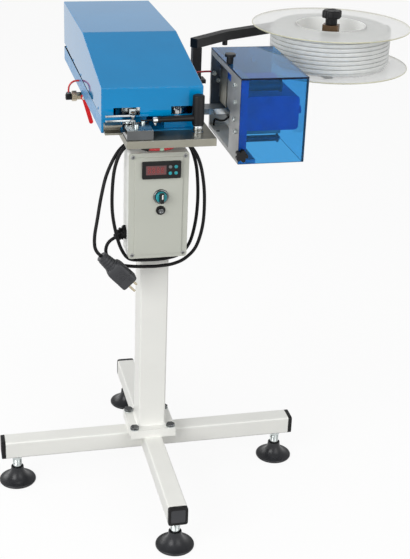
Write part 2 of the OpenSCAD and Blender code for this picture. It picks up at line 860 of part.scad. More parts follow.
module valve_block() {
  x0 = head_right - sheet_t - valve_w - 6;
  y0 = head_back - valve_d - 30;
  color(bright) block([x0, y0, floor_z], [x0 + valve_w, y0 + valve_d, floor_z + valve_h]);
  color(black) for (i = [0 : 2])
    block([x0 + 8, y0 + 10 + i * coil_pitch, floor_z + valve_h],
      [x0 + valve_w - 8, y0 + 10 + i * coil_pitch + coil_w, floor_z + valve_h + coil_h]);
}

// Front of the head
module die_block() {
  color(bright) {
    difference() {
      block([die_x0, die_y0, work_h], [die_x0 + die_w, die_y1, die_z1]);
      block([die_x0 - cut, (die_y0 + die_y1 - die_groove_w) / 2 + 14, die_z1 - die_groove_h],
        [die_x0 + die_w / 3, (die_y0 + die_y1 + die_groove_w) / 2 + 14, die_z1 + cut]);
    }
    rod_z([finger_pin[0], finger_pin[1], die_z1], finger_z - die_z1 - move_gap, finger_pin_d + 4);
    rod_z([finger_pin[0], finger_pin[1], die_z1], finger_z - die_z1 + finger_h + 2, finger_pin_d);
  }
}
module die_screws() {
  color(zinc) for (s = die_screws_at) difference() {
    rod_z([close_x + s[0], die_y0 + s[1], die_z1], die_screw_h, die_screw_d);
    hex_z([close_x + s[0], die_y0 + s[1], die_z1 + 2], die_screw_h, 4);
  }
}
module bag_guides() {
  x0 = 4 - head_left;
  y1 = -head_front;
  y0 = y1 - guide_d;
  z1 = guide_z0 + guide_t;
  z2 = z1 + bag_gap;
  color(bright) {
    block([x0, y0, guide_z0], [x0 + guide_w, y1, z1]);
    block([x0, y0, z2], [x0 + guide_w, y1, z2 + guide_t]);
    block([x0, y1 - guide_t / 2, z1], [x0 + guide_w, y1, z2]);
  }
}
// Curved finger: an arc in plan from its pin to its tip, curling away from the hood
module trigger_finger() {
  color(bright) translate([finger_pin[0], finger_pin[1], finger_z]) difference() {
    union() {
      cylinder(h = finger_h, d = finger_boss_d);
      translate([0, -finger_r, 0]) rotate([0, 0, 90]) rotate_extrude(angle = finger_sweep)
        translate([finger_r - finger_t / 2, 0]) square([finger_t, finger_h]);
    }
    translate([0, 0, -cut]) cylinder(h = finger_h + 2 * cut, d = finger_pin_d + 2 * turn_gap);
  }
}
module arm_post() {
  color(bright) {
    hex_z([post_x, post_y, work_h], post_nut_h, post_nut_af);
    rod_z([post_x, post_y, work_h], post_nut_h + sleeve_h - 5, post_pin_d);
  }
}
module arm_sleeve() {
  color(black) translate([post_x, post_y, sleeve_z0]) difference() {
    rotate_extrude() polygon([
      [0, 0], [sleeve_d / 2, 0], [sleeve_d / 2, sleeve_h - 2], [sleeve_d / 2 - 2, sleeve_h], [0, sleeve_h]
    ]);
    translate([0, 0, -cut]) cylinder(h = sleeve_h - 4 + cut, d = post_pin_d + 2 * turn_gap);
  }
}
module feeler_arm() {
  start = sleeve_d / 2 - 0.5;
  translate([post_x, post_y, arm_z]) rotate([0, 0, arm_turn]) {
    color(black) difference() {
      translate([start - 2, 0, 0]) rotate([0, 90, 0])
        cylinder(h = arm_len - start + 2, r1 = arm_r0, r2 = arm_r1);
      translate([0, 0, -sleeve_h / 2]) cylinder(h = sleeve_h, d = sleeve_d);
    }
    color(bright) rod_x([arm_len, 0, 0], 9, knuckle_d);
    color(black) rod_x([arm_len + 9, 0, 0], feeler_len, feeler_d);
  }
}

// Air valve
module valve_body() {
  x0 = valve_bracket_x;
  color(zinc) {
    difference() {
      block([x0, valve_y - bracket_d / 2, valve_z - 14], [x0 + bracket_t, valve_y + bracket_d / 2, work_h]);
      rod_x([x0 - cut, valve_y, valve_z], bracket_t + 2 * cut, valve_body_d - 4);
    }
    block([x0, valve_y - bracket_d / 2, work_h - bracket_t],
      [x0 + bracket_reach, valve_y + bracket_d / 2, work_h]);
    rod_x([x0 - valve_body_len, valve_y, valve_z], valve_body_len, valve_body_d);
    translate([x0 - valve_body_len, valve_y, valve_z]) rotate([0, 90, 0])
      cylinder(h = valve_hex_len, d = valve_hex_af / cos(30), $fn = 6);
    rod_y([lever_x, valve_y - stem_len, valve_z], stem_len, stem_d);
  }
}
module valve_lever() {
  y1 = valve_y - valve_hex_af / 2 - lever_gap;
  color(red) translate([lever_x, y1, valve_z]) rotate([0, -lever_lean, 0]) rotate([90, 0, 0]) difference() {
    linear_extrude(lever_t) union() {
      circle(d = lever_w + 4);
      translate([-lever_w / 2, -lever_len]) square([lever_w, lever_len]);
      translate([0, -lever_len]) circle(d = lever_w);
    }
    translate([0, 0, -cut]) cylinder(h = lever_t + 2 * cut, d = stem_d + 2 * turn_gap);
  }
}
module valve_elbow() {
  x1 = valve_bracket_x - valve_body_len;
  color(black) {
    block([x1 - elbow_w, valve_y - elbow_w / 2, valve_z - elbow_w / 2],
      [x1, valve_y + elbow_w / 2, valve_z + elbow_w / 2 - 4]);
    rod_z([x1 - elbow_w / 2, valve_y, valve_z + elbow_w / 2 - 4], 4, elbow_w - 1);
  }
}
module air_hoses() {
  color(red) {
    hose(valve_hose, hose_d, hose_steps, hose_sides);
    hose(coder_hose, hose_d, hose_steps, hose_sides);
    hose(box_hose, box_hose_d, hose_steps, hose_sides);
  }
}

// Control box
module control_case() {
  color(box_grey) difference() {
    upright_panel(box_y0, box_y1, box_x, box_mid, box_w, box_h, box_r);
    upright_panel(box_y0 - cut, box_y1 - box_wall, box_x, box_mid,
      box_w - 2 * box_wall, box_h - 2 * box_wall, box_r - box_wall / 2);
  }
}
// Lid with a raised panel between the strips that its screws sit on
module control_lid() {
  color(box_grey) difference() {
    union() {
      upright_panel(lid_y0 + lid_step, box_y0, box_x, box_mid, box_w, box_h, box_r);
      upright_panel(lid_y0, lid_y0 + lid_step + cut, box_x, box_mid,
        box_w - 2 * lid_strip[0], box_h - 2 * lid_strip[1], box_r / 2);
    }
    block([panel_x - module_w / 2 - fit_gap, lid_y0 - cut, display_z - module_h / 2 - fit_gap],
      [panel_x + module_w / 2 + fit_gap, box_y0 + cut, display_z + module_h / 2 + fit_gap]);
    rod_y([panel_x, lid_y0 - cut, selector_z], lid_t + 2 * cut, selector_d + 2 * fit_gap);
    rod_y([panel_x, lid_y0 - cut, button_z], lid_t + 2 * cut, button_d + 2 * fit_gap);
  }
}
function key_place(i) = [key_x - key_step * (i % 2), display_z + key_rise * (i < 2 ? 1 : -1)];
module display_module() {
  front = lid_y0 - bezel_t;
  color(black) difference() {
    union() {
      upright_panel(front, lid_y0, panel_x, display_z, bezel_w, bezel_h, 2);
      block([panel_x - module_w / 2, lid_y0, display_z - module_h / 2],
        [panel_x + module_w / 2, lid_y0 + module_d, display_z + module_h / 2]);
    }
    translate([panel_x - bezel_w / 2 + window_inset, front - cut, display_z - window_pane[1] / 2])
      cube([window_pane[0], window_depth + cut, window_pane[1]]);
    for (i = [0 : 3])
      rod_y([key_place(i)[0], front - cut, key_place(i)[1]], key_depth + cut, key_d + 2 * turn_gap);
  }
}
module display_key(i) {
  length = key_out + key_depth - key_travel - move_gap;
  color("teal")
    rod_y([key_place(i)[0], lid_y0 - bezel_t - key_out, key_place(i)[1]], length, key_d);
}
module display_key_1() { display_key(0); }
module display_key_2() { display_key(1); }
module display_key_3() { display_key(2); }
module display_key_4() { display_key(3); }
module selector_bezel() {
  color(bright) difference() {
    union() {
      rod_y([panel_x, lid_y0 - selector_ring_t, selector_z], selector_ring_t, selector_ring_d);
      rod_y([panel_x, lid_y0, selector_z], selector_body_d - 10, selector_d);
    }
    rod_y([panel_x, lid_y0 - selector_ring_t - cut, selector_z],
      selector_ring_t + lid_t + cut, knob_d + 2 * turn_gap);
  }
}
module selector_knob() {
  y1 = lid_y0 + lid_t - move_gap;
  y0 = lid_y0 - selector_ring_t - knob_t;
  color(black) {
    rod_y([panel_x, y0, selector_z], y1 - y0, knob_d);
    block([panel_x - knob_bar_w / 2, y0 - knob_bar_h, selector_z - knob_d / 2 + 1],
      [panel_x + knob_bar_w / 2, y0, selector_z + knob_d / 2 - 1]);
  }
}
module button_ring() {
  color(black) difference() {
    union() {
      rod_y([panel_x, lid_y0 - button_ring_t, button_z], button_ring_t, button_ring_d);
      rod_y([panel_x, lid_y0, button_z], lid_t + button_depth + 6, button_d);
    }
    rod_y([panel_x, lid_y0 - button_ring_t - cut, button_z],
      button_ring_t + button_depth + cut, button_cap_d + 2 * turn_gap);
  }
}
module push_button() {
  y0 = lid_y0 - button_ring_t - button_out;
  length = button_out + button_ring_t + button_depth - button_travel - move_gap;
  color("gray") rod_y([panel_x, y0, button_z], length, button_cap_d);
}
module cable_gland() {
  color(black) {
    translate([box_x - box_w / 2, gland_y, gland_z]) rotate([0, -90, 0])
      cylinder(h = gland_hex_len, d = gland_hex_af / cos(30), $fn = 6);
    translate(gland_root) rotate([0, -90 - gland_turn, 0])
      cylinder(h = gland_tail, d1 = gland_d0, d2 = gland_d1);
  }
}
module mains_cord() {
  p = smooth(cord_route, cord_steps);
  echo(cord_length_mm = round(route_length(p)), cord_least_gap_mm = least_distance(p, 12) - cord_d);
  color(black) hose(cord_route, cord_d, cord_steps, cord_sides);
}
module mains_plug() {
  last = cord_route[len(cord_route) - 1];
  color(black) translate(last) rotate([0, 90 + plug_turn, 0]) {
    cylinder(h = plug_tail, d1 = plug_d0, d2 = plug_d1 - 4);
    translate([0, 0, plug_tail]) cylinder(h = plug_grip, d = plug_d1);
    translate([0, 0, plug_tail + plug_grip]) cylinder(h = plug_face, d1 = plug_d1, d2 = plug_d1 - 6);
    for (s = [-1, 1]) translate([0, s * pin_pitch / 2, plug_tail + plug_grip + plug_face])
      cylinder(h = pin_len, d = pin_d);
  }
}

// Strip reel
module reel_arm() {
  top = work_h + arm_high;
  under = top - arm_w;
  half = arm_w / 2;
  foot_half = 0.8 * arm_w;
  color(black) {
    block([column_w / 2, reel_post[1] - foot_half, work_h - foot_plate_t],
      [reel_post[0] + arm_w, reel_post[1] + foot_half, work_h]);
    block([reel_post[0] - half, reel_post[1] - half, work_h],
      [reel_post[0] + half, reel_post[1] + half, under]);
    flat_bar([reel_post, reel_bend, reel_corner], arm_w, under, top);
    block([reel_corner[0] - half, reel_corner[1] - half, arm_z0],
      [reel_corner[0] + half, reel_corner[1] + half, under]);
    block([reel_x - half, reel_y - half, arm_z0], [reel_x + half, reel_corner[1] - half, arm_z1]);
    rod_z([reel_bend[0], reel_bend[1], under - clamp_len], clamp_len, clamp_d);
  }
}
module reel_spindle() {
  color(bright) {
    rod_z([reel_x, reel_y, arm_z1], spindle_base_h, spindle_base_d);
    rod_z([reel_x, reel_y, arm_z1], star_z + star_hub_h - 2 - arm_z1, spindle_d);
  }
}
module reel_spool() {
  color(milky) translate([reel_x, reel_y, 0]) difference() {
    union() {
      rod_z([0, 0, reel_z0], reel_flange_t, reel_d);
      rod_z([0, 0, reel_z1 - reel_flange_t], reel_flange_t, reel_d);
      rod_z([0, 0, reel_z0], reel_h, hub_d);
    }
    rod_z([0, 0, web_z + web_t], reel_z1 - web_z, hub_d - 2 * hub_wall);
    difference() {
      rod_z([0, 0, reel_z0 - cut], web_z - reel_z0 + cut, hub_d - 2 * hub_wall);
      rod_z([0, 0, reel_z0 - 2 * cut], web_z - reel_z0 + 3 * cut, hub_boss_d);
    }
    rod_z([0, 0, reel_z0 - cut], reel_h + 2 * cut, spindle_d + 2 * turn_gap);
  }
}
// Outer layer of clip strip as one helix over a plain core of the inner layers
function strip_angle(i) = 360 * i / strip_rings;
function strip_point(i, z0) = [
  strip_r * cos(strip_angle(i)), strip_r * sin(strip_angle(i)), z0 + strip_pitch * i / strip_rings
];
module clip_strip() {
  clear_h = reel_h - 2 * reel_flange_t;
  core_d = 2 * (strip_r - strip_t / 2) * cos(180 / strip_rings) - 2 * core_gap;
  z0 = reel_z0 + reel_flange_t + (clear_h - winding_turns * strip_pitch) / 2;
  last = winding_turns * strip_rings;
  turns = [for (i = [0 : last]) strip_point(i, z0)];
  lead = strip_h * unit(turns[0] - turns[1]);
  tail = strip_h * unit(turns[last] - turns[last - 1]);
  p = concat([turns[0] + lead], turns, [turns[last] + tail]);
  normals = concat(
    [[1, 0, 0]],
    [for (i = [0 : last]) [cos(strip_angle(i)), sin(strip_angle(i)), 0]],
    [[cos(strip_angle(last)), sin(strip_angle(last)), 0]]
  );
  echo(strip_least_gap_mm = least_distance(p, strip_rings / 2) - strip_h);
  color("white") translate([reel_x, reel_y, 0]) {
    difference() {
      rod_z([0, 0, reel_z0 + reel_flange_t + core_gap], clear_h - 2 * core_gap, core_d);
      rod_z([0, 0, reel_z0], reel_h, hub_d + 2 * core_gap);
    }
    tube(p, normals, strip_t / 2, strip_h / 2, strip_sides);
  }
}
module reel_spacer() {
  color(bronze) translate([reel_x, reel_y, web_z + web_t + move_gap]) difference() {
    cylinder(h = spacer_h, d = spacer_af / cos(30), $fn = 6);
    translate([0, 0, -cut]) cylinder(h = spacer_h + 2 * cut, d = spindle_d + 2 * turn_gap);
  }
}
module reel_knob() {
  color(black) translate([reel_x, reel_y, star_z]) difference() {
    union() {
      cylinder(h = star_hub_h, d = spindle_d + 10);
      translate([0, 0, star_hub_h]) lobed_grip(star_d, star_h, 6);
    }
    translate([0, 0, -cut]) cylinder(h = star_hub_h + cut, d = spindle_d + 2 * turn_gap);
  }
}

// Coder
module coder_frame() {
  bar_y0 = back_plate_y - bracket_bar_d;
  color(steel) difference() {
    union() {
      block([coder_left, inner_front, coder_z0], [coder_left + base_plate_w, coder_back, coder_floor]);
      block([coder_left, back_plate_y, coder_z0], [inner_right, coder_back, inner_top]);
      block([side_x, inner_front, coder_floor],
        [side_x + side_plate_t, inner_front + side_plate_d, inner_top]);
      block([side_x, inner_front, inner_top - top_strip_t], [side_x + top_strip_t, back_plate_y, inner_top]);
      block([bracket_bar_x0, bar_y0, work_z0 - bracket_bar_t], [inner_right - 8, back_plate_y, work_z0]);
      block([anvil_x0, anvil_front, anvil_top - anvil_t], [anvil_x0 + anvil_w, back_plate_y, anvil_top]);
      block([anvil_x0, bar_y0, anvil_top - anvil_t], [anvil_x0 + anvil_w, back_plate_y, work_z0]);
      block([rail_x, back_plate_y - rail_t, rail_z0],
        [rail_x + rail_w, back_plate_y, inner_top - top_strip_t]);
      for (z = [supply_z, takeup_z]) rod_x([side_x + side_plate_t, foil_y, z], foil_len + 4, foil_pin_d);
    }
    rod_y([stud_x, inner_front - cut, front_knob_z],
      guard_stud_len, guard_stud_d + 2 * turn_gap);
    rod_z([stud_x, top_knob_y, inner_top - top_strip_t + 1], top_strip_t, guard_stud_d + 2 * turn_gap);
  }
}
module coder_cable() {
  color(black) hose(coder_lead, cable_d, hose_steps, hose_sides, [1, 0, 0]);
}
module print_head() {
  carriage_x0 = rail_x + rail_w / 2 - carriage_w / 2;
  color(black) difference() {
    union() {
      upright_panel(head_y0, head_y1, (head_x0 + head_x1) / 2, (head_z0 + type_t + head_z1) / 2,
        head_x1 - head_x0, head_z1 - head_z0 - type_t, head_round);
      block([carriage_x0, head_y1, carriage_z0],
        [carriage_x0 + carriage_w, back_plate_y - move_gap, head_z1]);
      rod_x([head_x1, head_knob_y, head_knob_z], head_knob_len, head_knob_d);
    }
    block([rail_x - move_gap, back_plate_y - rail_t - move_gap, carriage_z0 - cut],
      [rail_x + rail_w + move_gap, back_plate_y, head_z1 + cut]);
  }
  color("brown") block(
    [anvil_x0 + type_inset / 2, anvil_front + type_inset / 2, head_z0],
    [anvil_x0 + anvil_w - type_inset / 2, head_y1 - 2 * type_inset, head_z0 + type_t]
  );
}
module foil_spool(z, core_d, rim_d) {
  color("dimgray")
    translate([side_x + side_plate_t + move_gap, foil_y, z]) rotate([0, 90, 0]) difference() {
    union() {
      cylinder(h = foil_len, d = core_d);
      for (x = [0, foil_len - foil_rim_t]) translate([0, 0, x]) cylinder(h = foil_rim_t, d = rim_d);
    }
    translate([0, 0, -cut]) cylinder(h = foil_len + 2 * cut, d = foil_pin_d + 2 * turn_gap);
  }
}
module foil_supply() { foil_spool(supply_z, supply_d, supply_rim_d); }
module foil_takeup() { foil_spool(takeup_z, takeup_d, takeup_rim_d); }
module guard() {
  stud_hole = guard_stud_d + 2 * fit_gap;
  color(clear_blue) difference() {
    union() {
      block([coder_left, -coder_front, coder_z0], [coder_right, inner_front, coder_z1]);
      block([inner_right, inner_front, coder_z0], [coder_right, coder_back, coder_z1]);
      block([coder_left, inner_front, inner_top], [inner_right, coder_back, coder_z1]);
    }
    rod_y([stud_x, -coder_front - cut, front_knob_z], acrylic_t + 2 * cut, stud_hole);
    rod_z([stud_x, top_knob_y, inner_top - cut], acrylic_t + 2 * cut, stud_hole);
  }
}
module guard_front_knob() {
  color(black)
    translate([stud_x, -coder_front - move_gap, front_knob_z]) rotate([90, 0, 0]) {
    lobed_grip(lobe_knob_d, lobe_knob_t, 5);
    translate([0, 0, -guard_stud_len]) cylinder(h = guard_stud_len, d = guard_stud_d);
  }
}
module guard_top_knob() {
  color(black) translate([stud_x, top_knob_y, coder_z1 + move_gap]) {
    cylinder(h = thumb_h - 6, d = thumb_d - 8);
    translate([0, 0, thumb_h - 6]) cylinder(h = 6, d = thumb_d);
    translate([0, 0, -guard_stud_len + 3]) cylinder(h = guard_stud_len - 3, d = guard_stud_d);
  }
}

leg_cross();
leg_caps();
foot_front();
foot_right();
foot_back();
foot_left();
base_flange();
stand_bolts();
column();
column_head();
work_plate();
body_tray();
hood();
cover_screws();
air_cylinder();
closing_ram();
ram_guide();
feed_unit();
drive_roller();
pinch_roller();
valve_block();
die_block();
die_screws();
bag_guides();
trigger_finger();
arm_post();
arm_sleeve();
feeler_arm();
valve_body();
valve_lever();
valve_elbow();
air_hoses();
control_case();
control_lid();
display_module();
display_key_1();
display_key_2();
display_key_3();
display_key_4();
selector_bezel();
selector_knob();
button_ring();
push_button();
cable_gland();
mains_cord();
mains_plug();
reel_arm();
reel_spindle();
reel_spool();
clip_strip();
reel_spacer();
reel_knob();
coder_frame();
coder_cable();
print_head();
foil_supply();
foil_takeup();
guard();
guard_front_knob();
guard_top_knob();
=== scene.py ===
"""Bag clipping machine on a stand: the looks, built round the packed frame.

The file is laid out as an add-on and run as a script. Sizes are millimetres in the part's own
frame: X to the right, Y to the back, Z up, with the origin on the floor under the column.
"""

import json
import math

import bmesh
import bpy
from bpy.props import FloatProperty, FloatVectorProperty, IntProperty, PointerProperty
from mathutils import Matrix, Vector

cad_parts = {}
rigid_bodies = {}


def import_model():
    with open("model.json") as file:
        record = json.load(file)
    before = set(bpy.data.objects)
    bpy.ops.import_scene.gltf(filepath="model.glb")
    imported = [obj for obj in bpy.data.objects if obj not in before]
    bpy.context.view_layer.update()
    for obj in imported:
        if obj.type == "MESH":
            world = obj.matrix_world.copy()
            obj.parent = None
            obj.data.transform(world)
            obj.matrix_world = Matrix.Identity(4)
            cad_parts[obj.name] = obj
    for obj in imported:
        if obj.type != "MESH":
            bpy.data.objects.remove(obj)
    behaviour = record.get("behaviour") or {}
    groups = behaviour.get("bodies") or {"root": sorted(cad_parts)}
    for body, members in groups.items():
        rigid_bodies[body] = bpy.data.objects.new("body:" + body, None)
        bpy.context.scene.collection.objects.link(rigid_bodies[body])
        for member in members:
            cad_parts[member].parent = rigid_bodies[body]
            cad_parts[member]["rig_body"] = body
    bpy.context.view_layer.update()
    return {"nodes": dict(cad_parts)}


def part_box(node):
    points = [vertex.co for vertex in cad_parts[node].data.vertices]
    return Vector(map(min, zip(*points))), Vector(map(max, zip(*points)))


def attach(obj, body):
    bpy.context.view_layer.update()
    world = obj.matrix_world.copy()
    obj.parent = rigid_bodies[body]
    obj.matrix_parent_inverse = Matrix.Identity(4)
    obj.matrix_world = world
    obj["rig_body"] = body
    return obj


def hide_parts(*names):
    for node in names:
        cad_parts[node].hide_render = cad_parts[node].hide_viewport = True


bl_info = {
    "name": "Bag clipping machine",
    "version": (1, 0, 0),
    "blender": (4, 5, 0),
    "location": "View3D > Sidebar > Clipper",
    "description": "Dresses the clipping machine's frame with its finished pieces",
    "category": "Object",
}

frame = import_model()
MM = 0.001
IMAGE_HEIGHT = 559


def tint(code):
    """Linear colour of a hex code."""
    parts = [int(code[i : i + 2], 16) / 255 for i in (1, 3, 5)]
    return tuple(c / 12.92 if c <= 0.04045 else ((c + 0.055) / 1.055) ** 2.4 for c in parts)


def colour(name, description, code):
    """Colour setting with a hex default."""
    return FloatVectorProperty(
        name=name, description=description, subtype="COLOR", size=3, min=0.0, max=1.0, default=tint(code)
    )


def length(name, description, millimetres):
    """Length setting with a default in millimetres."""
    return FloatProperty(
        name=name, description=description, unit="LENGTH", precision=5, min=0.0, default=millimetres * MM
    )


def view_angle(name, description, degrees):
    """Angle setting with a default in degrees."""
    return FloatProperty(name=name, description=description, subtype="ANGLE", default=math.radians(degrees))


def lamp_power(name, description, watts):
    """Setting of a lamp's power, with a default in watts."""
    return FloatProperty(name=name, description=description, unit="POWER", default=watts)


class ClipperColours(bpy.types.PropertyGroup):
    """Colours of the machine's finishes."""

    stand_white: colour("Stand white", "Powder coat of the legs, the column and its plates", "#eeeee9")
    hood_blue: colour("Hood blue", "Paint of the hood and tray", "#0083be")
    arm_black: colour("Arm black", "Satin paint of the reel arm", "#1c1c1e")
    moulded_black: colour("Moulded black", "Caps, knobs, sleeve and gland", "#121213")
    cord_black: colour("Cord black", "Sheath of the mains cord and the cable", "#0d0d0e")
    zinc: colour("Zinc", "Plated bolts, studs and screws", "#c4cac9")
    plate_steel: colour("Plate steel", "Ground work plate", "#88867b")
    bright_steel: colour("Bright steel", "Finger, post and spindle", "#c3c6c7")
    die_steel: colour("Die steel", "Die block, stand bolts, selector ring and button cap", "#666869")
    frame_grey: colour("Frame grey", "Milled plates of the coder", "#9b9c9b")
    # Painted shade: this colour stands for the shade on the left end of the coder's back plate.
    shade_slate: colour("Slate", "Dark coat inside the coder", "#4d555d")
    nickel: colour("Nickel", "Body of the air valve", "#b3a892")
    bronze: colour("Bronze", "Hexagonal spacer on the reel", "#6e5843")
    box_grey: colour("Box grey", "Lid of the control box", "#bcbeb4")
    case_grey: colour("Case grey", "Case of the control box", "#eff0eb")
    ring_green: colour("Ring green", "Release ring on the box's hose", "#b7d6bd")
    foot_black: colour("Foot black", "Pads of the levelling feet", "#252629")
    plug_grey: colour("Plug grey", "Grip of the mains plug and the caps' panels", "#36373a")
    display_red: colour("Display red", "Window of the display", "#5c1418")
    digit_red: colour("Digit red", "Segments behind the window", "#8f2a2c")
    key_teal: colour("Key teal", "Keys and selector plate", "#1f9aa3")
    key_grey: colour("Key grey", "Grey key and the elbow's collet", "#6c7072")
    lever_red: colour("Lever red", "Vinyl on the valve's lever", "#ec1520")
    hose_red: colour("Hose red", "Air hoses", "#d2161f")
    reel_milky: colour("Reel white", "Clear milky moulding of the reel", "#f6f7f5")
    rim_yellow: colour("Rim", "Cut edge of the reel's flanges", "#d9d6b4")
    strip_white: colour("Strip white", "Wound clip strip", "#e3e5e3")
    guard_blue: colour("Guard blue", "Blue acrylic of the guard", "#4aa3de")
    guard_clear: colour("Guard clear", "Clear acrylic of the guard's side", "#e6f5fd")
    guard_edge: colour("Guard edge", "Cut edges of the acrylic", "#070b22")
    # Painted light: this blue stands for the light through the blue guard, on the print head and the post's
    # front.
    guard_light_blue: colour("Print head", "Coated block of the print head", "#3a6ccc")
    foil: colour("Foil", "Wound printing foil", "#3c3c48")
    pointer_white: colour("Pointer", "Painted pointer of the selector", "#f2f2ee")


class ClipperDetails(bpy.types.PropertyGroup):
    """Sizes of the details that finish the solids."""

    sheet_bend: length("Sheet bend", "Outer radius of the hood's bends", 3.0)
    seam_gap: length("Seam gap", "Gap between the hood and the tray", 8.0)
    tube_edge: length("Tube edge", "Radius left on the stand's cut edges", 0.8)
    plate_edge: length("Plate edge", "Radius on the machined plates", 0.9)
    moulding_edge: length("Moulding edge", "Radius on moulded pieces", 1.2)
    thread_pitch: length("Thread pitch", "Pitch of the levelling feet's studs", 2.5)
    reel_steps: IntProperty(
        name="Reel steps", description="Sides of the reel and of each turn of strip",
        min=24, max=192, default=128,
    )
    turn_steps: IntProperty(
        name="Turning steps", description="Sides of the small turned pieces", min=16, max=96, default=48
    )


class ClipperStage(bpy.types.PropertyGroup):
    """Camera and light."""

    eye: FloatVectorProperty(
        name="Camera", description="Place of the camera", subtype="XYZ", unit="LENGTH",
        default=(-0.4470, -2.2677, 1.5185),
    )
    yaw: view_angle("Yaw", "Turn of the view to the left", -13.944)
    pitch: view_angle("Pitch", "Rise of the view", -24.364)
    roll: view_angle("Roll", "Roll of the camera", 2.194)
    focal: FloatProperty(
        name="Focal length", description="Focal length in pixels of the image", default=1197.57
    )
    key: lamp_power("Key light", "Power of the key light", 72.0)
    fill: lamp_power("Fill light", "Power of the fill light", 36.0)
    top: lamp_power("Top light", "Power of the light overhead", 5.0)
    back: lamp_power("Back light", "Power of the back light", 18.0)
    sky: FloatProperty(
        name="Sky", description="Strength of the light from all round", default=0.5, min=0.0
    )
    zenith: FloatProperty(
        name="Zenith", description="How white the top of the studio looks in reflections",
        default=0.45, min=0.0,
    )


# Finishes

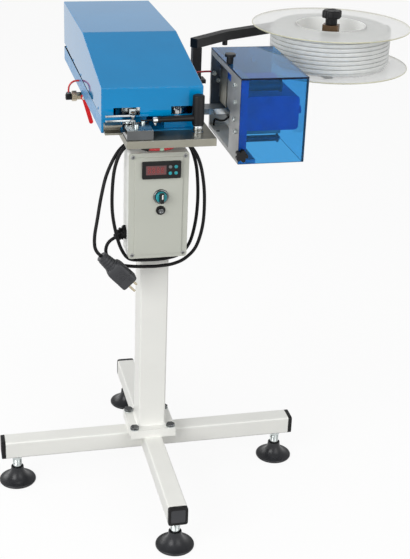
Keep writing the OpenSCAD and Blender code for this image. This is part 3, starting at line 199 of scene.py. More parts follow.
# Each finish: its colour, roughness from and to, and what its nodes add
FINISHES = {
    # Also painted light on the coder's base plate, which lies in shade.
    "powder_coat": dict(colour="stand_white", rough=(0.34, 0.46), spread=0.02, grain=700, relief=0.01,
                        wear=0.15, worn="frame_grey"),
    "hood_paint": dict(colour="hood_blue", rough=(0.03, 0.07), spread=0.04, grain=420, relief=0.0004,
                       wear=0.2, worn="key_grey", specular=0.3),
    "tray_paint": dict(colour="hood_blue", rough=(0.24, 0.34), spread=0.05, grain=420, relief=0.0006,
                       wear=0.2, worn="key_grey", specular=0.35),
    # Also painted shade in the seam between the hood and the tray.
    "matt_rubber": dict(colour="cord_black", rough=(0.85, 0.95), spread=0.3, grain=900, relief=0.05,
                        specular=0.05),
    "arm_paint": dict(colour="arm_black", rough=(0.46, 0.6), spread=0.2, grain=420, relief=0.02,
                      wear=0.35, worn="frame_grey"),
    "moulding": dict(colour="moulded_black", rough=(0.3, 0.44), spread=0.25, grain=900, relief=0.015,
                     wear=0.25, worn="key_grey", specular=0.24),
    "foot_moulding": dict(colour="foot_black", rough=(0.26, 0.44), spread=0.25, grain=700, relief=0.02,
                          specular=0.35),
    "rubber": dict(colour="cord_black", rough=(0.34, 0.46), spread=0.3, grain=700, relief=0.01,
                   specular=0.16),
    "pale_ring": dict(colour="ring_green", rough=(0.3, 0.42), spread=0.06, patch=60, grain=700,
                      relief=0.01),
    "worn_plastic": dict(colour="plug_grey", rough=(0.42, 0.58), spread=0.2, grain=700, relief=0.02,
                         specular=0.4),
    # Also a painted sheen on the die's top.
    "zinc_plate": dict(colour="zinc", rough=(0.2, 0.38), spread=0.12, patch=120, grain=500, relief=0.008,
                       metallic=1.0),
    "ground_steel": dict(colour="plate_steel", rough=(0.36, 0.5), spread=0.12, patch=14, grain=9,
                         stretch=(2, 130, 130), relief=0.006, metallic=1.0, wear=0.8, worn="bright_steel"),
    # Also a painted highlight on the front of the coder's bar.
    "bright_steel": dict(colour="bright_steel", rough=(0.1, 0.24), spread=0.08, patch=60, grain=300,
                         relief=0.004, metallic=1.0),
    "die_steel": dict(colour="die_steel", rough=(0.08, 0.2), spread=0.08, patch=40, grain=14,
                      stretch=(120, 3, 120), relief=0.002, metallic=1.0, wear=0.9, worn="bright_steel"),
    "milled_plate": dict(colour="frame_grey", rough=(0.3, 0.46), spread=0.14, patch=22, grain=16,
                         stretch=(90, 90, 4), relief=0.006, metallic=0.35, wear=0.7, worn="bright_steel"),
    # Painted shade on the left end of the coder's back plate.
    "painted_shade": dict(colour="shade_slate", rough=(0.36, 0.5), spread=0.14, patch=22, grain=500, relief=0.01,
                       wear=0.4, worn="bright_steel"),
    "nickel_plate": dict(colour="nickel", rough=(0.18, 0.34), spread=0.14, patch=90, grain=400,
                         relief=0.008, metallic=1.0),
    "bronze_hex": dict(colour="bronze", rough=(0.26, 0.42), spread=0.2, patch=70, grain=22,
                       stretch=(4, 4, 160), relief=0.05, metallic=0.85),
    "box_moulding": dict(colour="box_grey", rough=(0.4, 0.52), spread=0.03, grain=1100, relief=0.012,
                         wear=0.15, worn="stand_white"),
    "case_moulding": dict(colour="case_grey", rough=(0.4, 0.52), spread=0.03, grain=1100, relief=0.012,
                          wear=0.15, worn="stand_white"),
    "display_window": dict(colour="display_red", rough=(0.06, 0.14), spread=0.25, patch=60, grain=300,
                           relief=0.01, coat=1.0),
    "display_digit": dict(colour="digit_red", rough=(0.2, 0.35), spread=0.15, patch=200, grain=300,
                          relief=0.01),
    "teal_key": dict(colour="key_teal", rough=(0.28, 0.42), spread=0.12, patch=90, grain=900, relief=0.01),
    "grey_key": dict(colour="key_grey", rough=(0.28, 0.42), spread=0.12, patch=90, grain=900, relief=0.01),
    "lever_vinyl": dict(colour="lever_red", rough=(0.25, 0.4), spread=0.12, patch=40, grain=500,
                        relief=0.015),
    "hose_skin": dict(colour="hose_red", rough=(0.22, 0.36), spread=0.14, patch=50, grain=500,
                      relief=0.01, coat=0.4),
    "reel_moulding": dict(colour="reel_milky", rough=(0.12, 0.2), spread=0.02, patch=9, grain=40,
                          relief=0.001, specular=0.35, alpha=0.42),
    "reel_hub": dict(colour="reel_milky", rough=(0.2, 0.3), spread=0.02, patch=9, grain=40, relief=0.001),
    "reel_rim": dict(colour="rim_yellow", rough=(0.24, 0.4), spread=0.1, patch=30, grain=300,
                     relief=0.008, alpha=0.75),
    "strip": dict(colour="strip_white", rough=(0.34, 0.46), spread=0.05, patch=60, grain=500, relief=0.01),
    "acrylic": dict(colour="guard_blue", rough=(0.015, 0.05), spread=0.04, patch=6, grain=60,
                    relief=0.002, transmission=0.92, ior=1.22),
    "acrylic_clear": dict(colour="guard_clear", rough=(0.015, 0.05), spread=0.02, patch=6, grain=60,
                          relief=0.002, transmission=1.0, ior=1.2),
    "acrylic_edge": dict(colour="guard_edge", rough=(0.2, 0.35), spread=0.3, patch=40, grain=200,
                         relief=0.01, specular=0.15),
    # Painted light: the blue of the light through the guard, on the print head and the coder post's front.
    "painted_guard_light": dict(colour="guard_light_blue", rough=(0.34, 0.5), spread=0.2, patch=30, grain=600,
                        relief=0.015, wear=0.4, worn="frame_grey"),
    "foil_wrap": dict(colour="foil", rough=(0.15, 0.3), spread=0.3, patch=60, grain=24,
                      stretch=(160, 3, 3), relief=0.05, metallic=0.4),
    "pointer_paint": dict(colour="pointer_white", rough=(0.4, 0.5), spread=0.04, grain=600, relief=0.01),
}


# Repeats of the finishes' noise in a metre, and the lacquer's roughness
WEAR_SCALE = 160.0
SMUDGE_SCALE = 26.0
PATCH_SCALE = 11
COAT_ROUGHNESS = 0.06


def new_group(name, inputs, outputs):
    """Empty shader group with its sockets, and its two end nodes."""
    tree = bpy.data.node_groups.new(name, "ShaderNodeTree")
    for direction, sockets in (("INPUT", inputs), ("OUTPUT", outputs)):
        for label, kind in sockets:
            tree.interface.new_socket(label, in_out=direction, socket_type="NodeSocket" + kind)
    return tree, tree.nodes.new("NodeGroupInput").outputs, tree.nodes.new("NodeGroupOutput").inputs


def noise(tree, where, scale, detail=4.0):
    """Noise node's factor, read at a place and scale that are sockets."""
    node = tree.nodes.new("ShaderNodeTexNoise")
    node.inputs["Detail"].default_value = detail
    tree.links.new(where, node.inputs["Vector"])
    tree.links.new(scale, node.inputs["Scale"])
    return node.outputs["Fac"]


def ranged(tree, value, ends, low, high):
    """Map Range node from fixed ends to two values, each a number or a socket."""
    node = tree.nodes.new("ShaderNodeMapRange")
    node.inputs["From Min"].default_value, node.inputs["From Max"].default_value = ends
    tree.links.new(value, node.inputs["Value"])
    for socket, given in (("To Min", low), ("To Max", high)):
        if isinstance(given, bpy.types.NodeSocket):
            tree.links.new(given, node.inputs[socket])
        else:
            node.inputs[socket].default_value = given
    return node.outputs["Result"]


def math_node(tree, operation, first, second):
    """Math node of a socket and a socket or number."""
    node = tree.nodes.new("ShaderNodeMath")
    node.operation = operation
    for place, given in enumerate((first, second)):
        if isinstance(given, bpy.types.NodeSocket):
            tree.links.new(given, node.inputs[place])
        else:
            node.inputs[place].default_value = given
    return node.outputs[0]


def mottle_group():
    """Colour that drifts lighter and darker over the surface, and is another on worn edges."""
    known = bpy.data.node_groups.get("mottled_colour")
    if known:
        return known
    tree, given, out = new_group(
        "mottled_colour",
        [("Vector", "Vector"), ("Colour", "Color"), ("Worn", "Color"), ("Mask", "Float"),
         ("Spread", "Float"), ("Scale", "Float")],
        [("Colour", "Color")],
    )
    drift = noise(tree, given["Vector"], given["Scale"], 5.0)
    darker = math_node(tree, "SUBTRACT", 1.0, given["Spread"])
    lighter = math_node(tree, "ADD", 1.0, given["Spread"])
    shade = tree.nodes.new("ShaderNodeHueSaturation")
    tree.links.new(ranged(tree, drift, (0.3, 0.7), darker, lighter), shade.inputs["Value"])
    tree.links.new(given["Colour"], shade.inputs["Color"])
    mix = tree.nodes.new("ShaderNodeMix")
    mix.data_type = "RGBA"
    tree.links.new(given["Mask"], mix.inputs["Factor"])
    tree.links.new(shade.outputs["Color"], mix.inputs["A"])
    tree.links.new(given["Worn"], mix.inputs["B"])
    tree.links.new(mix.outputs["Result"], out["Colour"])
    return tree


def smudge_group():
    """Roughness with wide smudges of handling and fine specks."""
    known = bpy.data.node_groups.get("smudged_roughness")
    if known:
        return known
    tree, given, out = new_group(
        "smudged_roughness",
        [("Vector", "Vector"), ("Low", "Float"), ("High", "Float"), ("Scale", "Float")],
        [("Roughness", "Float")],
    )
    wide = noise(tree, given["Vector"], given["Scale"])
    fine = noise(tree, given["Vector"], math_node(tree, "MULTIPLY", given["Scale"], 9.0), 2.0)
    mostly = math_node(tree, "MULTIPLY", wide, 0.7)
    partly = math_node(tree, "MULTIPLY", fine, 0.3)
    both = math_node(tree, "ADD", mostly, partly)
    tree.links.new(ranged(tree, both, (0.35, 0.65), given["Low"], given["High"]), out["Roughness"])
    return tree


def wear_group():
    """Mask of rubbed places along the rounded edges."""
    known = bpy.data.node_groups.get("edge_wear")
    if known:
        return known
    tree, given, out = new_group(
        "edge_wear", [("Vector", "Vector"), ("Edge", "Float"), ("Amount", "Float"), ("Scale", "Float")],
        [("Mask", "Float")],
    )
    rubbed = ranged(tree, noise(tree, given["Vector"], given["Scale"], 6.0), (0.42, 0.66), 0.0, 1.0)
    patchy = math_node(tree, "MULTIPLY", rubbed, given["Edge"])
    tree.links.new(math_node(tree, "MULTIPLY", patchy, given["Amount"]), out["Mask"])
    return tree


def grain_group():
    """Height of a grain that can be drawn out into brushed lines."""
    known = bpy.data.node_groups.get("surface_grain")
    if known:
        return known
    tree, given, out = new_group(
        "surface_grain", [("Vector", "Vector"), ("Stretch", "Vector"), ("Scale", "Float")],
        [("Height", "Float")],
    )
    drawn = tree.nodes.new("ShaderNodeVectorMath")
    drawn.operation = "MULTIPLY"
    tree.links.new(given["Vector"], drawn.inputs[0])
    tree.links.new(given["Stretch"], drawn.inputs[1])
    tree.links.new(noise(tree, drawn.outputs["Vector"], given["Scale"], 3.0), out["Height"])
    return tree


def placed(tree, group, **values):
    """Group node with its inputs set from numbers or linked from sockets."""
    node = tree.nodes.new("ShaderNodeGroup")
    node.node_tree = group
    for label, given in values.items():
        if isinstance(given, bpy.types.NodeSocket):
            tree.links.new(given, node.inputs[label])
        else:
            node.inputs[label].default_value = given
    return node.outputs[0]


def finish(name):
    """The named finish as a material, built on its first use."""
    known = bpy.data.materials.get(name)
    if known:
        return known
    look = FINISHES[name]
    colours = bpy.context.scene.clipper_colours
    material = bpy.data.materials.new(name)
    material.use_nodes = True
    tree = material.node_tree
    shader = tree.nodes["Principled BSDF"]
    where = tree.nodes.new("ShaderNodeTexCoord").outputs["Object"]
    edge = tree.nodes.new("ShaderNodeAttribute")
    edge.attribute_name = "edge"
    mask = placed(
        tree, wear_group(), Vector=where, Edge=edge.outputs["Fac"], Amount=look.get("wear", 0.0),
        Scale=WEAR_SCALE,
    )
    shade = placed(
        tree, mottle_group(), Vector=where, Colour=(*getattr(colours, look["colour"]), 1.0),
        Worn=(*getattr(colours, look.get("worn", look["colour"])), 1.0), Mask=mask,
        Spread=look["spread"], Scale=float(look.get("patch", PATCH_SCALE)),
    )
    low, high = look["rough"]
    rough = placed(tree, smudge_group(), Vector=where, Low=low, High=high, Scale=SMUDGE_SCALE)
    height = placed(
        tree, grain_group(), Vector=where, Stretch=look.get("stretch", (1.0, 1.0, 1.0)),
        Scale=float(look["grain"]),
    )
    bump = tree.nodes.new("ShaderNodeBump")
    bump.inputs["Strength"].default_value = 1.0
    bump.inputs["Distance"].default_value = look["relief"] * MM
    tree.links.new(height, bump.inputs["Height"])
    tree.links.new(shade, shader.inputs["Base Color"])
    tree.links.new(rough, shader.inputs["Roughness"])
    tree.links.new(bump.outputs["Normal"], shader.inputs["Normal"])
    shader.inputs["Metallic"].default_value = look.get("metallic", 0.0)
    shader.inputs["Specular IOR Level"].default_value = look.get("specular", 0.5)
    shader.inputs["Coat Weight"].default_value = look.get("coat", 0.0)
    shader.inputs["Coat Roughness"].default_value = COAT_ROUGHNESS
    shader.inputs["Transmission Weight"].default_value = look.get("transmission", 0.0)
    shader.inputs["IOR"].default_value = look.get("ior", 1.5)
    shader.inputs["Alpha"].default_value = look.get("alpha", 1.0)
    return material


# Shapes, in millimetres

SCREW_STEPS = 24

# Places on the solids: the finger's pin, the die's top above its foot, and the coder's plates and bar
FINGER_PIN = (-66, -122)
DIE_TOP = 19
CODER_LEFT = 141
BACK_PLATE_FRONT = 114
BASE_PLATE_THICK = 8
BAR_FRONT = 74
BAR_TOP = 803

# Where the painted shade on the coder's back plate ends, to the right
SHADE_END = 186

# Limits of the mesh tools, in metres, square metres and degrees
TINY = 1e-7
MERGE_GAP = 2e-6
SAME_LEVEL = 1e-5
WIDE_FACE = 2e-4
FLAT_ANGLE = 0.4
SMOOTH_ANGLE = 50

# Least part of a face's normal along the way that it is said to look
FACING = 0.9


def mm(*place):
    """Point in metres from millimetres."""
    return Vector(place) * MM


def span(node):
    """Lowest and highest corner of a CAD node, in millimetres."""
    low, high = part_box(node)
    return low / MM, high / MM


def middle(node):
    """Middle of a CAD node's box, in millimetres."""
    low, high = span(node)
    return (low + high) / 2


def edge_layer(bm):
    """Face layer that marks rounded edges for the wear in the finishes."""
    return bm.faces.layers.float.get("edge") or bm.faces.layers.float.new("edge")


def soften(bm, edges, radius, segments=2):
    """Rounds edges and marks the new faces for wear."""
    layer = edge_layer(bm)
    made = bmesh.ops.bevel(
        bm, geom=edges, offset=radius, offset_type="OFFSET", segments=segments, profile=0.5, affect="EDGES",
        clamp_overlap=True, material=-1,
    )
    for face in made["faces"]:
        face[layer] = 1.0


def sharp_edges(bm, angle=35.0):
    """Edges between faces that meet at more than an angle."""
    limit = math.radians(angle)
    return [e for e in bm.edges if e.is_manifold and e.calc_face_angle(0.0) > limit]


def stand(bm, verts, at, axis):
    """Turns verts that stand on the XY plane to an axis, and moves them to a place."""
    turn = Vector((0, 0, 1)).rotation_difference(Vector(axis)).to_matrix().to_4x4()
    bmesh.ops.transform(bm, matrix=Matrix.Translation(mm(*at)) @ turn, verts=verts)


def fresh(bm, before):
    """Verts made since the set of them was taken."""
    return [v for v in bm.verts if v not in before]


def turned(bm, profile, at, axis=(0, 0, 1), steps=None, closed=False):
    """Turns a profile of (radius, height) pairs about an axis through a place."""
    before = set(bm.verts)
    line = [bm.verts.new((r * MM, 0.0, h * MM)) for r, h in profile]
    pairs = list(zip(line, line[1:] + line[:1])) if closed else list(zip(line, line[1:]))
    geom = line + [bm.edges.new(pair) for pair in pairs]
    bmesh.ops.spin(
        bm, geom=geom, cent=(0, 0, 0), axis=(0, 0, 1), angle=2 * math.pi,
        steps=steps or bpy.context.scene.clipper_details.turn_steps, use_merge=True,
    )
    bmesh.ops.remove_doubles(bm, verts=fresh(bm, before), dist=TINY)
    made = fresh(bm, before)
    bmesh.ops.recalc_face_normals(bm, faces=list({f for v in made for f in v.link_faces}))
    stand(bm, made, at, axis)
    return made


def block(bm, low, high, radius=0.0, segments=2):
    """Box between two corners, with rounded edges."""
    before = set(bm.verts)
    made = bmesh.ops.create_cube(bm, size=1.0)["verts"]
    bmesh.ops.scale(bm, vec=mm(*high) - mm(*low), verts=made)
    bmesh.ops.translate(bm, vec=(mm(*low) + mm(*high)) / 2, verts=made)
    if radius:
        soften(bm, list({e for v in made for e in v.link_edges}), radius * MM, segments)
    return fresh(bm, before)


def drawn_up(bm, rings, outline, at, axis=(0, 0, 1), segments=72):
    """Solid drawn up through rings of (radius, height), its outline a radius factor for each angle."""
    before = set(bm.verts)
    first, base = rings[0]
    bmesh.ops.create_circle(bm, cap_ends=True, segments=segments, radius=1.0)
    for v in fresh(bm, before):
        v.co *= outline(math.atan2(v.co.y, v.co.x)) * first * MM
        v.co.z = base * MM
    rim = list({e for v in fresh(bm, before) for e in v.link_edges})
    for (r0, h0), (r1, h1) in zip(rings, rings[1:]):
        made = bmesh.ops.extrude_edge_only(bm, edges=rim)["geom"]
        raised = [v for v in made if isinstance(v, bmesh.types.BMVert)]
        bmesh.ops.scale(bm, vec=(r1 / r0, r1 / r0, 1), verts=raised)
        bmesh.ops.translate(bm, vec=(0, 0, (h1 - h0) * MM), verts=raised)
        rim = [e for e in made if isinstance(e, bmesh.types.BMEdge) and e.is_boundary]
    bmesh.ops.edgeloop_fill(bm, edges=rim)
    made = fresh(bm, before)
    bmesh.ops.recalc_face_normals(bm, faces=list({f for v in made for f in v.link_faces}))
    stand(bm, made, at, axis)


def lobes(count, dip):
    """Outline with round lobes."""
    return lambda turn: 1.0 - dip * (0.5 - 0.5 * math.cos(turn * count)) ** 1.6


def rounded_square(power, depth=1.0):
    """Outline of a rounded square or oblong, its corners sharper for a higher power."""
    return lambda turn: (abs(math.cos(turn)) ** power + abs(math.sin(turn) / depth) ** power) ** (-1 / power)


def cad_copy(node):
    """Merged copy of a CAD node, its flat faces whole."""
    bm = bmesh.new()
    bm.from_mesh(frame["nodes"][node].data)
    bmesh.ops.remove_doubles(bm, verts=bm.verts, dist=MERGE_GAP)
    bmesh.ops.dissolve_limit(bm, angle_limit=math.radians(FLAT_ANGLE), verts=bm.verts, edges=bm.edges)
    return bm


def piece(name, bm, finishes, body, *nodes, flats=False):
    """Finished piece: its mesh, finishes and shading, riding on a body and standing for CAD nodes.

    With flats, the edges of wide faces are sharp, so that a flat sheet is shaded flat.
    """
    names = [finishes] if isinstance(finishes, str) else finishes
    mesh = bpy.data.meshes.new(name)
    bm.to_mesh(mesh)
    bm.free()
    for each in names:
        mesh.materials.append(finish(each))
    mesh.shade_smooth()
    mesh.set_sharp_from_angle(angle=math.radians(SMOOTH_ANGLE))
    if flats:
        rims = {key for face in mesh.polygons if face.area > WIDE_FACE for key in face.edge_keys}
        for edge in mesh.edges:
            edge.use_edge_sharp |= edge.key in rims
    obj = bpy.data.objects.new(name, mesh)
    bpy.context.scene.collection.objects.link(obj)
    weighted = obj.modifiers.new("weighted_normals", "WEIGHTED_NORMAL")
    weighted.keep_sharp = True
    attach(obj, body)
    if nodes:
        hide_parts(*nodes)
    return obj


def body_of(node):
    """Body that a CAD node rides on."""
    return frame["nodes"][node]["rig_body"]


def edged(node, finishes, radius, segments=2, name=None, shape=None):
    """Copy of a CAD node with rounded edges, which stands for it."""
    bm = cad_copy(node)
    if shape:
        shape(bm)
    soften(bm, sharp_edges(bm), radius, segments)
    return piece(name or node + "_finished", bm, finishes, body_of(node), node)


def dressed(node, name):
    """Gives a CAD node a finish."""
    obj = frame["nodes"][node]
    if not obj.material_slots:
        obj.data.materials.append(finish(name))
    for place in obj.material_slots:
        place.material = finish(name)


def cap_screw(bm, at, axis, across, height):
    """Socket head screw standing on a face."""
    r = across / 2
    turned(
        bm,
        [(0, 0.45 * height), (0.5 * r, 0.45 * height), (0.54 * r, height), (0.86 * r, height),
         (r, 0.86 * height), (r, 0)],
        at, axis, SCREW_STEPS,
    )


def pan_screw(bm, at, axis, across, height):
    """Low domed screw standing on a face."""
    r = across / 2
    dome = [(0, height), (0.45 * r, 0.97 * height), (0.8 * r, 0.78 * height), (r, 0.3 * height), (r, 0)]
    turned(bm, dome, at, axis, SCREW_STEPS)


# Cords, by the routes of the part's source


def smooth_route(points, steps=6):
    """Points along a smooth curve through a route."""
    p = [Vector(q) for q in points]
    path = []
    for i in range(len(p) - 1):
        a, b, c, d = p[max(i - 1, 0)], p[i], p[i + 1], p[min(i + 2, len(p) - 1)]
        bend, twist = 2 * a - 5 * b + 4 * c - d, 3 * b - a - 3 * c + d
        for k in range(steps):
            t = k / steps
            path.append(0.5 * (2 * b + (c - a) * t + bend * t**2 + twist * t**3))
    return path + [p[-1]]


def lay_cord(name, points, diameter, finish_name, node, with_pieces=()):
    """Cord, hose or cable as one curve along its route."""
    path = [q * MM for q in smooth_route(points)]
    curve = bpy.data.curves.new(name, "CURVE")
    curve.dimensions = "3D"
    curve.bevel_depth = diameter / 2 * MM
    curve.bevel_resolution = 5
    curve.use_fill_caps = True
    spline = curve.splines.new("POLY")
    spline.points.add(len(path) - 1)
    for point, q in zip(spline.points, path):
        point.co = (*q, 1.0)
    spline.use_smooth = True
    curve.materials.append(finish(finish_name))
    obj = bpy.data.objects.new(name, curve)
    bpy.context.scene.collection.objects.link(obj)
    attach(obj, body_of(node))
    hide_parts(node)
    return obj


MAINS_ROUTE = [
    (-87.3, -58, 594.05), (-93.36, -58, 590.55), (-99.2, -58, 586.1), (-103.7, -58.3, 580.3),
    (-106.4, -58.8, 573.5), (-107.4, -59.5, 566.3), (-106.4, -60.5, 559), (-103.6, -61.5, 552.3),
    (-99.2, -62.5, 546.5), (-93.4, -63.5, 542), (-85.1, -64.5, 538), (-72.5, -65.5, 534.2),
    (-53, -67, 531.5), (-28, -69, 530.3), (0, -71, 530.8), (30, -71, 534), (55, -71, 545), (76, -72, 569),
    (88, -72, 610), (91, -72, 655), (88, -72, 705), (78, -71, 752), (59, -69, 784), (28, -67, 800),
    (-12, -66, 804), (-48, -67, 799), (-76, -70, 782), (-91, -73, 750), (-97, -76, 705), (-97, -78, 655),
    (-89, -79, 608), (-77, -76, 572), (-59, -64, 547), (-27, -55, 539), (14, -52, 538), (46, -52, 546),
    (66, -53, 569), (77, -53, 610), (81, -54, 660), (79, -54, 712), (72, -55, 752), (57, -56, 783),
    (24, -57, 797), (-20, -57, 799), (-56, -58, 795), (-83, -62, 777), (-106, -68, 735), (-119, -76, 690),
    (-128, -84, 645), (-133.5, -89, 618), (-135, -91.5, 604), (-135, -92.7, 597), (-134.5, -93.7, 590.3),
    (-132.9, -94.5, 584.9), (-130.3, -95, 579.8), (-126.8, -95, 575.3), (-122, -95, 570.2),
]
VALVE_HOSE = [
    (-146.5, 205, 820.5), (-146.5, 205, 829), (-145.1, 205, 835.9), (-141.2, 205, 841.7),
    (-135.4, 205, 845.6), (-128.5, 205, 847), (-124, 205, 847),
]
CODER_HOSE = [
    (72, 116, 878), (82, 116, 878), (96, 116.5, 880), (112, 117.5, 882), (128, 118, 883), (141, 118, 883),
]
BOX_HOSE = [
    (-50, -86, 815), (-50, -86, 810), (-48.2, -86, 800.8), (-43, -86, 793), (-35.2, -86, 787.8),
    (-26, -86, 786), (-9, -86, 785.5), (8, -86, 786), (17.2, -86, 787.8), (25, -86, 793),
    (30.2, -86, 800.8), (32, -86, 810), (32, -86, 815),
]
CODER_LEAD = [
    (148, 104, 770), (148, 104, 774), (148, 101, 781), (148, 94, 786.5), (148, 80, 790), (148, 50, 797),
    (147.5, 16, 808), (147, -12, 821), (147, -30, 830), (147, -42, 834), (147, -50, 834),
]

# How far the plug's axis hangs below the level
PLUG_DROOP = math.radians(46.5)
PLUG_AXIS = (math.cos(PLUG_DROOP), 0.0, -math.sin(PLUG_DROOP))


class CLIPPER_OT_stage(bpy.types.Operator):
    """Make the camera, the lights and the floor"""

    bl_idname = "clipper.stage"
    bl_label = "Stage"

    def execute(self, context):
        settings = context.scene.clipper_stage
        self.camera(context, settings)
        self.lights(context, settings)
        self.floor(context)
        context.scene.view_settings.view_transform = "Standard"
        return {"FINISHED"}

    def camera(self, context, settings):
        data = bpy.data.cameras.new("camera")
        data.sensor_width = 36.0
        data.lens = settings.focal * data.sensor_width / IMAGE_HEIGHT
        data.clip_end = 60.0
        sy, cy = math.sin(settings.yaw), math.cos(settings.yaw)
        sp, cp = math.sin(settings.pitch), math.cos(settings.pitch)
        ahead = Vector((-sy * cp, cy * cp, sp))
        level = Vector((cy, sy, 0))
        lift = level.cross(ahead)
        sr, cr = math.sin(settings.roll), math.cos(settings.roll)
        right, up = level * cr + lift * sr, lift * cr - level * sr
        obj = bpy.data.objects.new("camera", data)
        turn = Matrix((right, up, -ahead)).transposed().to_4x4()
        obj.matrix_world = Matrix.Translation(Vector(settings.eye)) @ turn
        context.scene.collection.objects.link(obj)
        context.scene.camera = obj

    def lights(self, context, settings):
        aim = Vector((0.08, 0.05, 0.62))
        for name, place, size, power in (
            ("key", (-2.4, -1.9, 1.6), 2.2, settings.key),
            ("fill", (1.5, -2.7, 1.4), 2.4, settings.fill),
            ("top", (0.05, 0.1, 2.6), 0.9, settings.top),
            ("back", (-1.9, 2.5, 1.1), 2.0, settings.back),
        ):
            data = bpy.data.lights.new(name, "AREA")
            data.size = size
            data.energy = power
            obj = bpy.data.objects.new(name, data)
            obj.location = place
            obj.rotation_euler = (aim - Vector(place)).to_track_quat("-Z", "Y").to_euler()
            context.scene.collection.objects.link(obj)
        world = bpy.data.worlds.new("studio")
        context.scene.world = world
        world.use_nodes = True
        tree = world.node_tree
        way = tree.nodes.new("ShaderNodeSeparateXYZ")
        tree.links.new(tree.nodes.new("ShaderNodeTexCoord").outputs["Generated"], way.inputs["Vector"])
        horizon, crown = 0.12, 0.55
        dome = ranged(tree, way.outputs["Z"], (horizon, crown), 1.0, settings.zenith)
        light = tree.nodes["Background"]
        light.inputs["Color"].default_value = (1.0, 1.0, 1.0, 1.0)
        glossy = tree.nodes.new("ShaderNodeLightPath").outputs["Is Glossy Ray"]
        mirrored = ranged(tree, glossy, (0.0, 1.0), 1.0, dome)
        tree.links.new(self.seen(tree, settings.sky, mirrored), light.inputs["Strength"])

    def seen(self, tree, otherwise, white=1.0):
        """Strength where the eye, a reflection or clear plastic looks, and another for the light itself."""
        path = tree.nodes.new("ShaderNodeLightPath").outputs
        looked_at = path["Is Camera Ray"]
        for ray in ("Is Glossy Ray", "Is Transmission Ray"):
            looked_at = math_node(tree, "MAXIMUM", looked_at, path[ray])
        return ranged(tree, looked_at, (0.0, 1.0), otherwise, white)

    def floor(self, context):
        bm = bmesh.new()
        bmesh.ops.create_grid(bm, x_segments=1, y_segments=1, size=14.0)
        mesh = bpy.data.meshes.new("floor")
        bm.to_mesh(mesh)
        bm.free()
        material = bpy.data.materials.new("floor")
        material.use_nodes = True
        tree = material.node_tree
        shader = tree.nodes["Principled BSDF"]
        shader.inputs["Base Color"].default_value = (0.93, 0.93, 0.92, 1.0)
        shader.inputs["Roughness"].default_value = 0.9
        shader.inputs["Specular IOR Level"].default_value = 0.0
        glow = tree.nodes.new("ShaderNodeEmission")
        tree.links.new(self.seen(tree, 0.0), glow.inputs["Strength"])
        mix = tree.nodes.new("ShaderNodeMixShader")
        mix.inputs["Fac"].default_value = 0.9
        tree.links.new(shader.outputs["BSDF"], mix.inputs[1])
        tree.links.new(glow.outputs["Emission"], mix.inputs[2])
        tree.links.new(mix.outputs["Shader"], tree.nodes["Material Output"].inputs["Surface"])
        mesh.materials.append(material)
        obj = bpy.data.objects.new("floor", mesh)
        context.scene.collection.objects.link(obj)


class CLIPPER_OT_cords(bpy.types.Operator):
    """Lay the mains cord with its plug, the air hoses and the coder's cable"""

    bl_idname = "clipper.cords"
    bl_label = "Cords"

    def execute(self, context):
        lay_cord(
            "mains_cord_sheath", MAINS_ROUTE, 7, "rubber", "mains_cord",
            self.plug(),
        )
        for name, route, diameter, fittings in (
            ("valve_hose", VALVE_HOSE, 4, ()),
            ("coder_hose", CODER_HOSE, 4, ()),
            ("box_hose", BOX_HOSE, 6, self.union()),
        ):
            lay_cord(name, route, diameter, "hose_skin", "air_hoses", fittings)
        lay_cord("coder_lead", CODER_LEAD, 4, "matt_rubber", "coder_cable")
        return {"FINISHED"}

    def union(self):
        """Push-in union on the hose under the work plate, and its pale release ring."""
        union_at, union_way = (-41, -86, 791), (0.94, 0, -0.34)
        ring_at, ring_way = (-6, -86, 785.55), (1, 0, 0)
        sleeve = [(3, 0), (5.2, 0), (5.2, 9), (4.6, 9.6), (4.6, 14), (3, 14)]
        collar = [(3, 0), (3.5, 0), (3.7, 0.4), (3.7, 7.6), (3.5, 8), (3, 8)]
        bm = bmesh.new()
        turned(bm, sleeve, union_at, union_way, 32, True)
        body = piece("hose_union", bm, "moulding", body_of("air_hoses"), "air_hoses")
        bm = bmesh.new()
        turned(bm, collar, ring_at, ring_way, 32, True)
        ring = piece("hose_release_ring", bm, "pale_ring", body_of("air_hoses"), "air_hoses")
        return body, ring

    def plug(self):
        """Moulded plug on the cord's end: ribbed neck, grip with its finger ridges, and two pins."""
        root, axis = Vector(MAINS_ROUTE[-1]), Vector(PLUG_AXIS)
        ribs = [(0, 0), (10.2, 0), (11.4, 1.2)]
        for i in range(4):
            h, r = 4 + 6.4 * i, 12.2 + 0.6 * i
            ribs += [(r - 1.4, h), (r - 1.4, h + 1.8), (r, h + 2.4), (r + 0.3, h + 5.6)]
        bm = bmesh.new()
        turned(bm, ribs + [(13.6, 31), (0, 31)], root, axis, 40)
        grip = [(13.4, 29.5), (16.6, 33), (18, 38), (18.6, 44), (18.6, 63.4), (17.6, 64), (17.6, 66),
                (18.6, 66.6), (18.6, 80.5), (18, 82.8), (16.8, 84)]
        drawn_up(bm, grip, rounded_square(7, 0.82), root, axis, 64)
        for i in range(4):
            stand(bm, block(bm, (-9, -15.9, 46 + 4.4 * i), (9, -14.6, 48 + 4.4 * i), 0.5), root, axis)
        ring = [(2.6, 0), (3.0, 0.7), (4.0, 0.7), (4.4, 0)]
        stand(bm, turned(bm, ring, (-8, -15.3, 74), (0, -1, 0), SCREW_STEPS), root, axis)
        body = piece("mains_plug_grip", bm, "worn_plastic", body_of("mains_plug"), "mains_plug")
        bm = bmesh.new()
        across = Vector((0, 0.87, 0)) + 0.49 * Vector((-axis.z, 0, axis.x))
        for side in (-1, 1):
            at = root + axis * 83.5 + across * 9.5 * side
            turned(bm, [(2.4, 0), (2.4, 17.6), (1.7, 19.0), (0.6, 19.5), (0, 19.5)], at, axis, 24)
        pins = piece("mains_plug_pins", bm, "nickel_plate", body_of("mains_plug"), "mains_plug")
        return body, pins


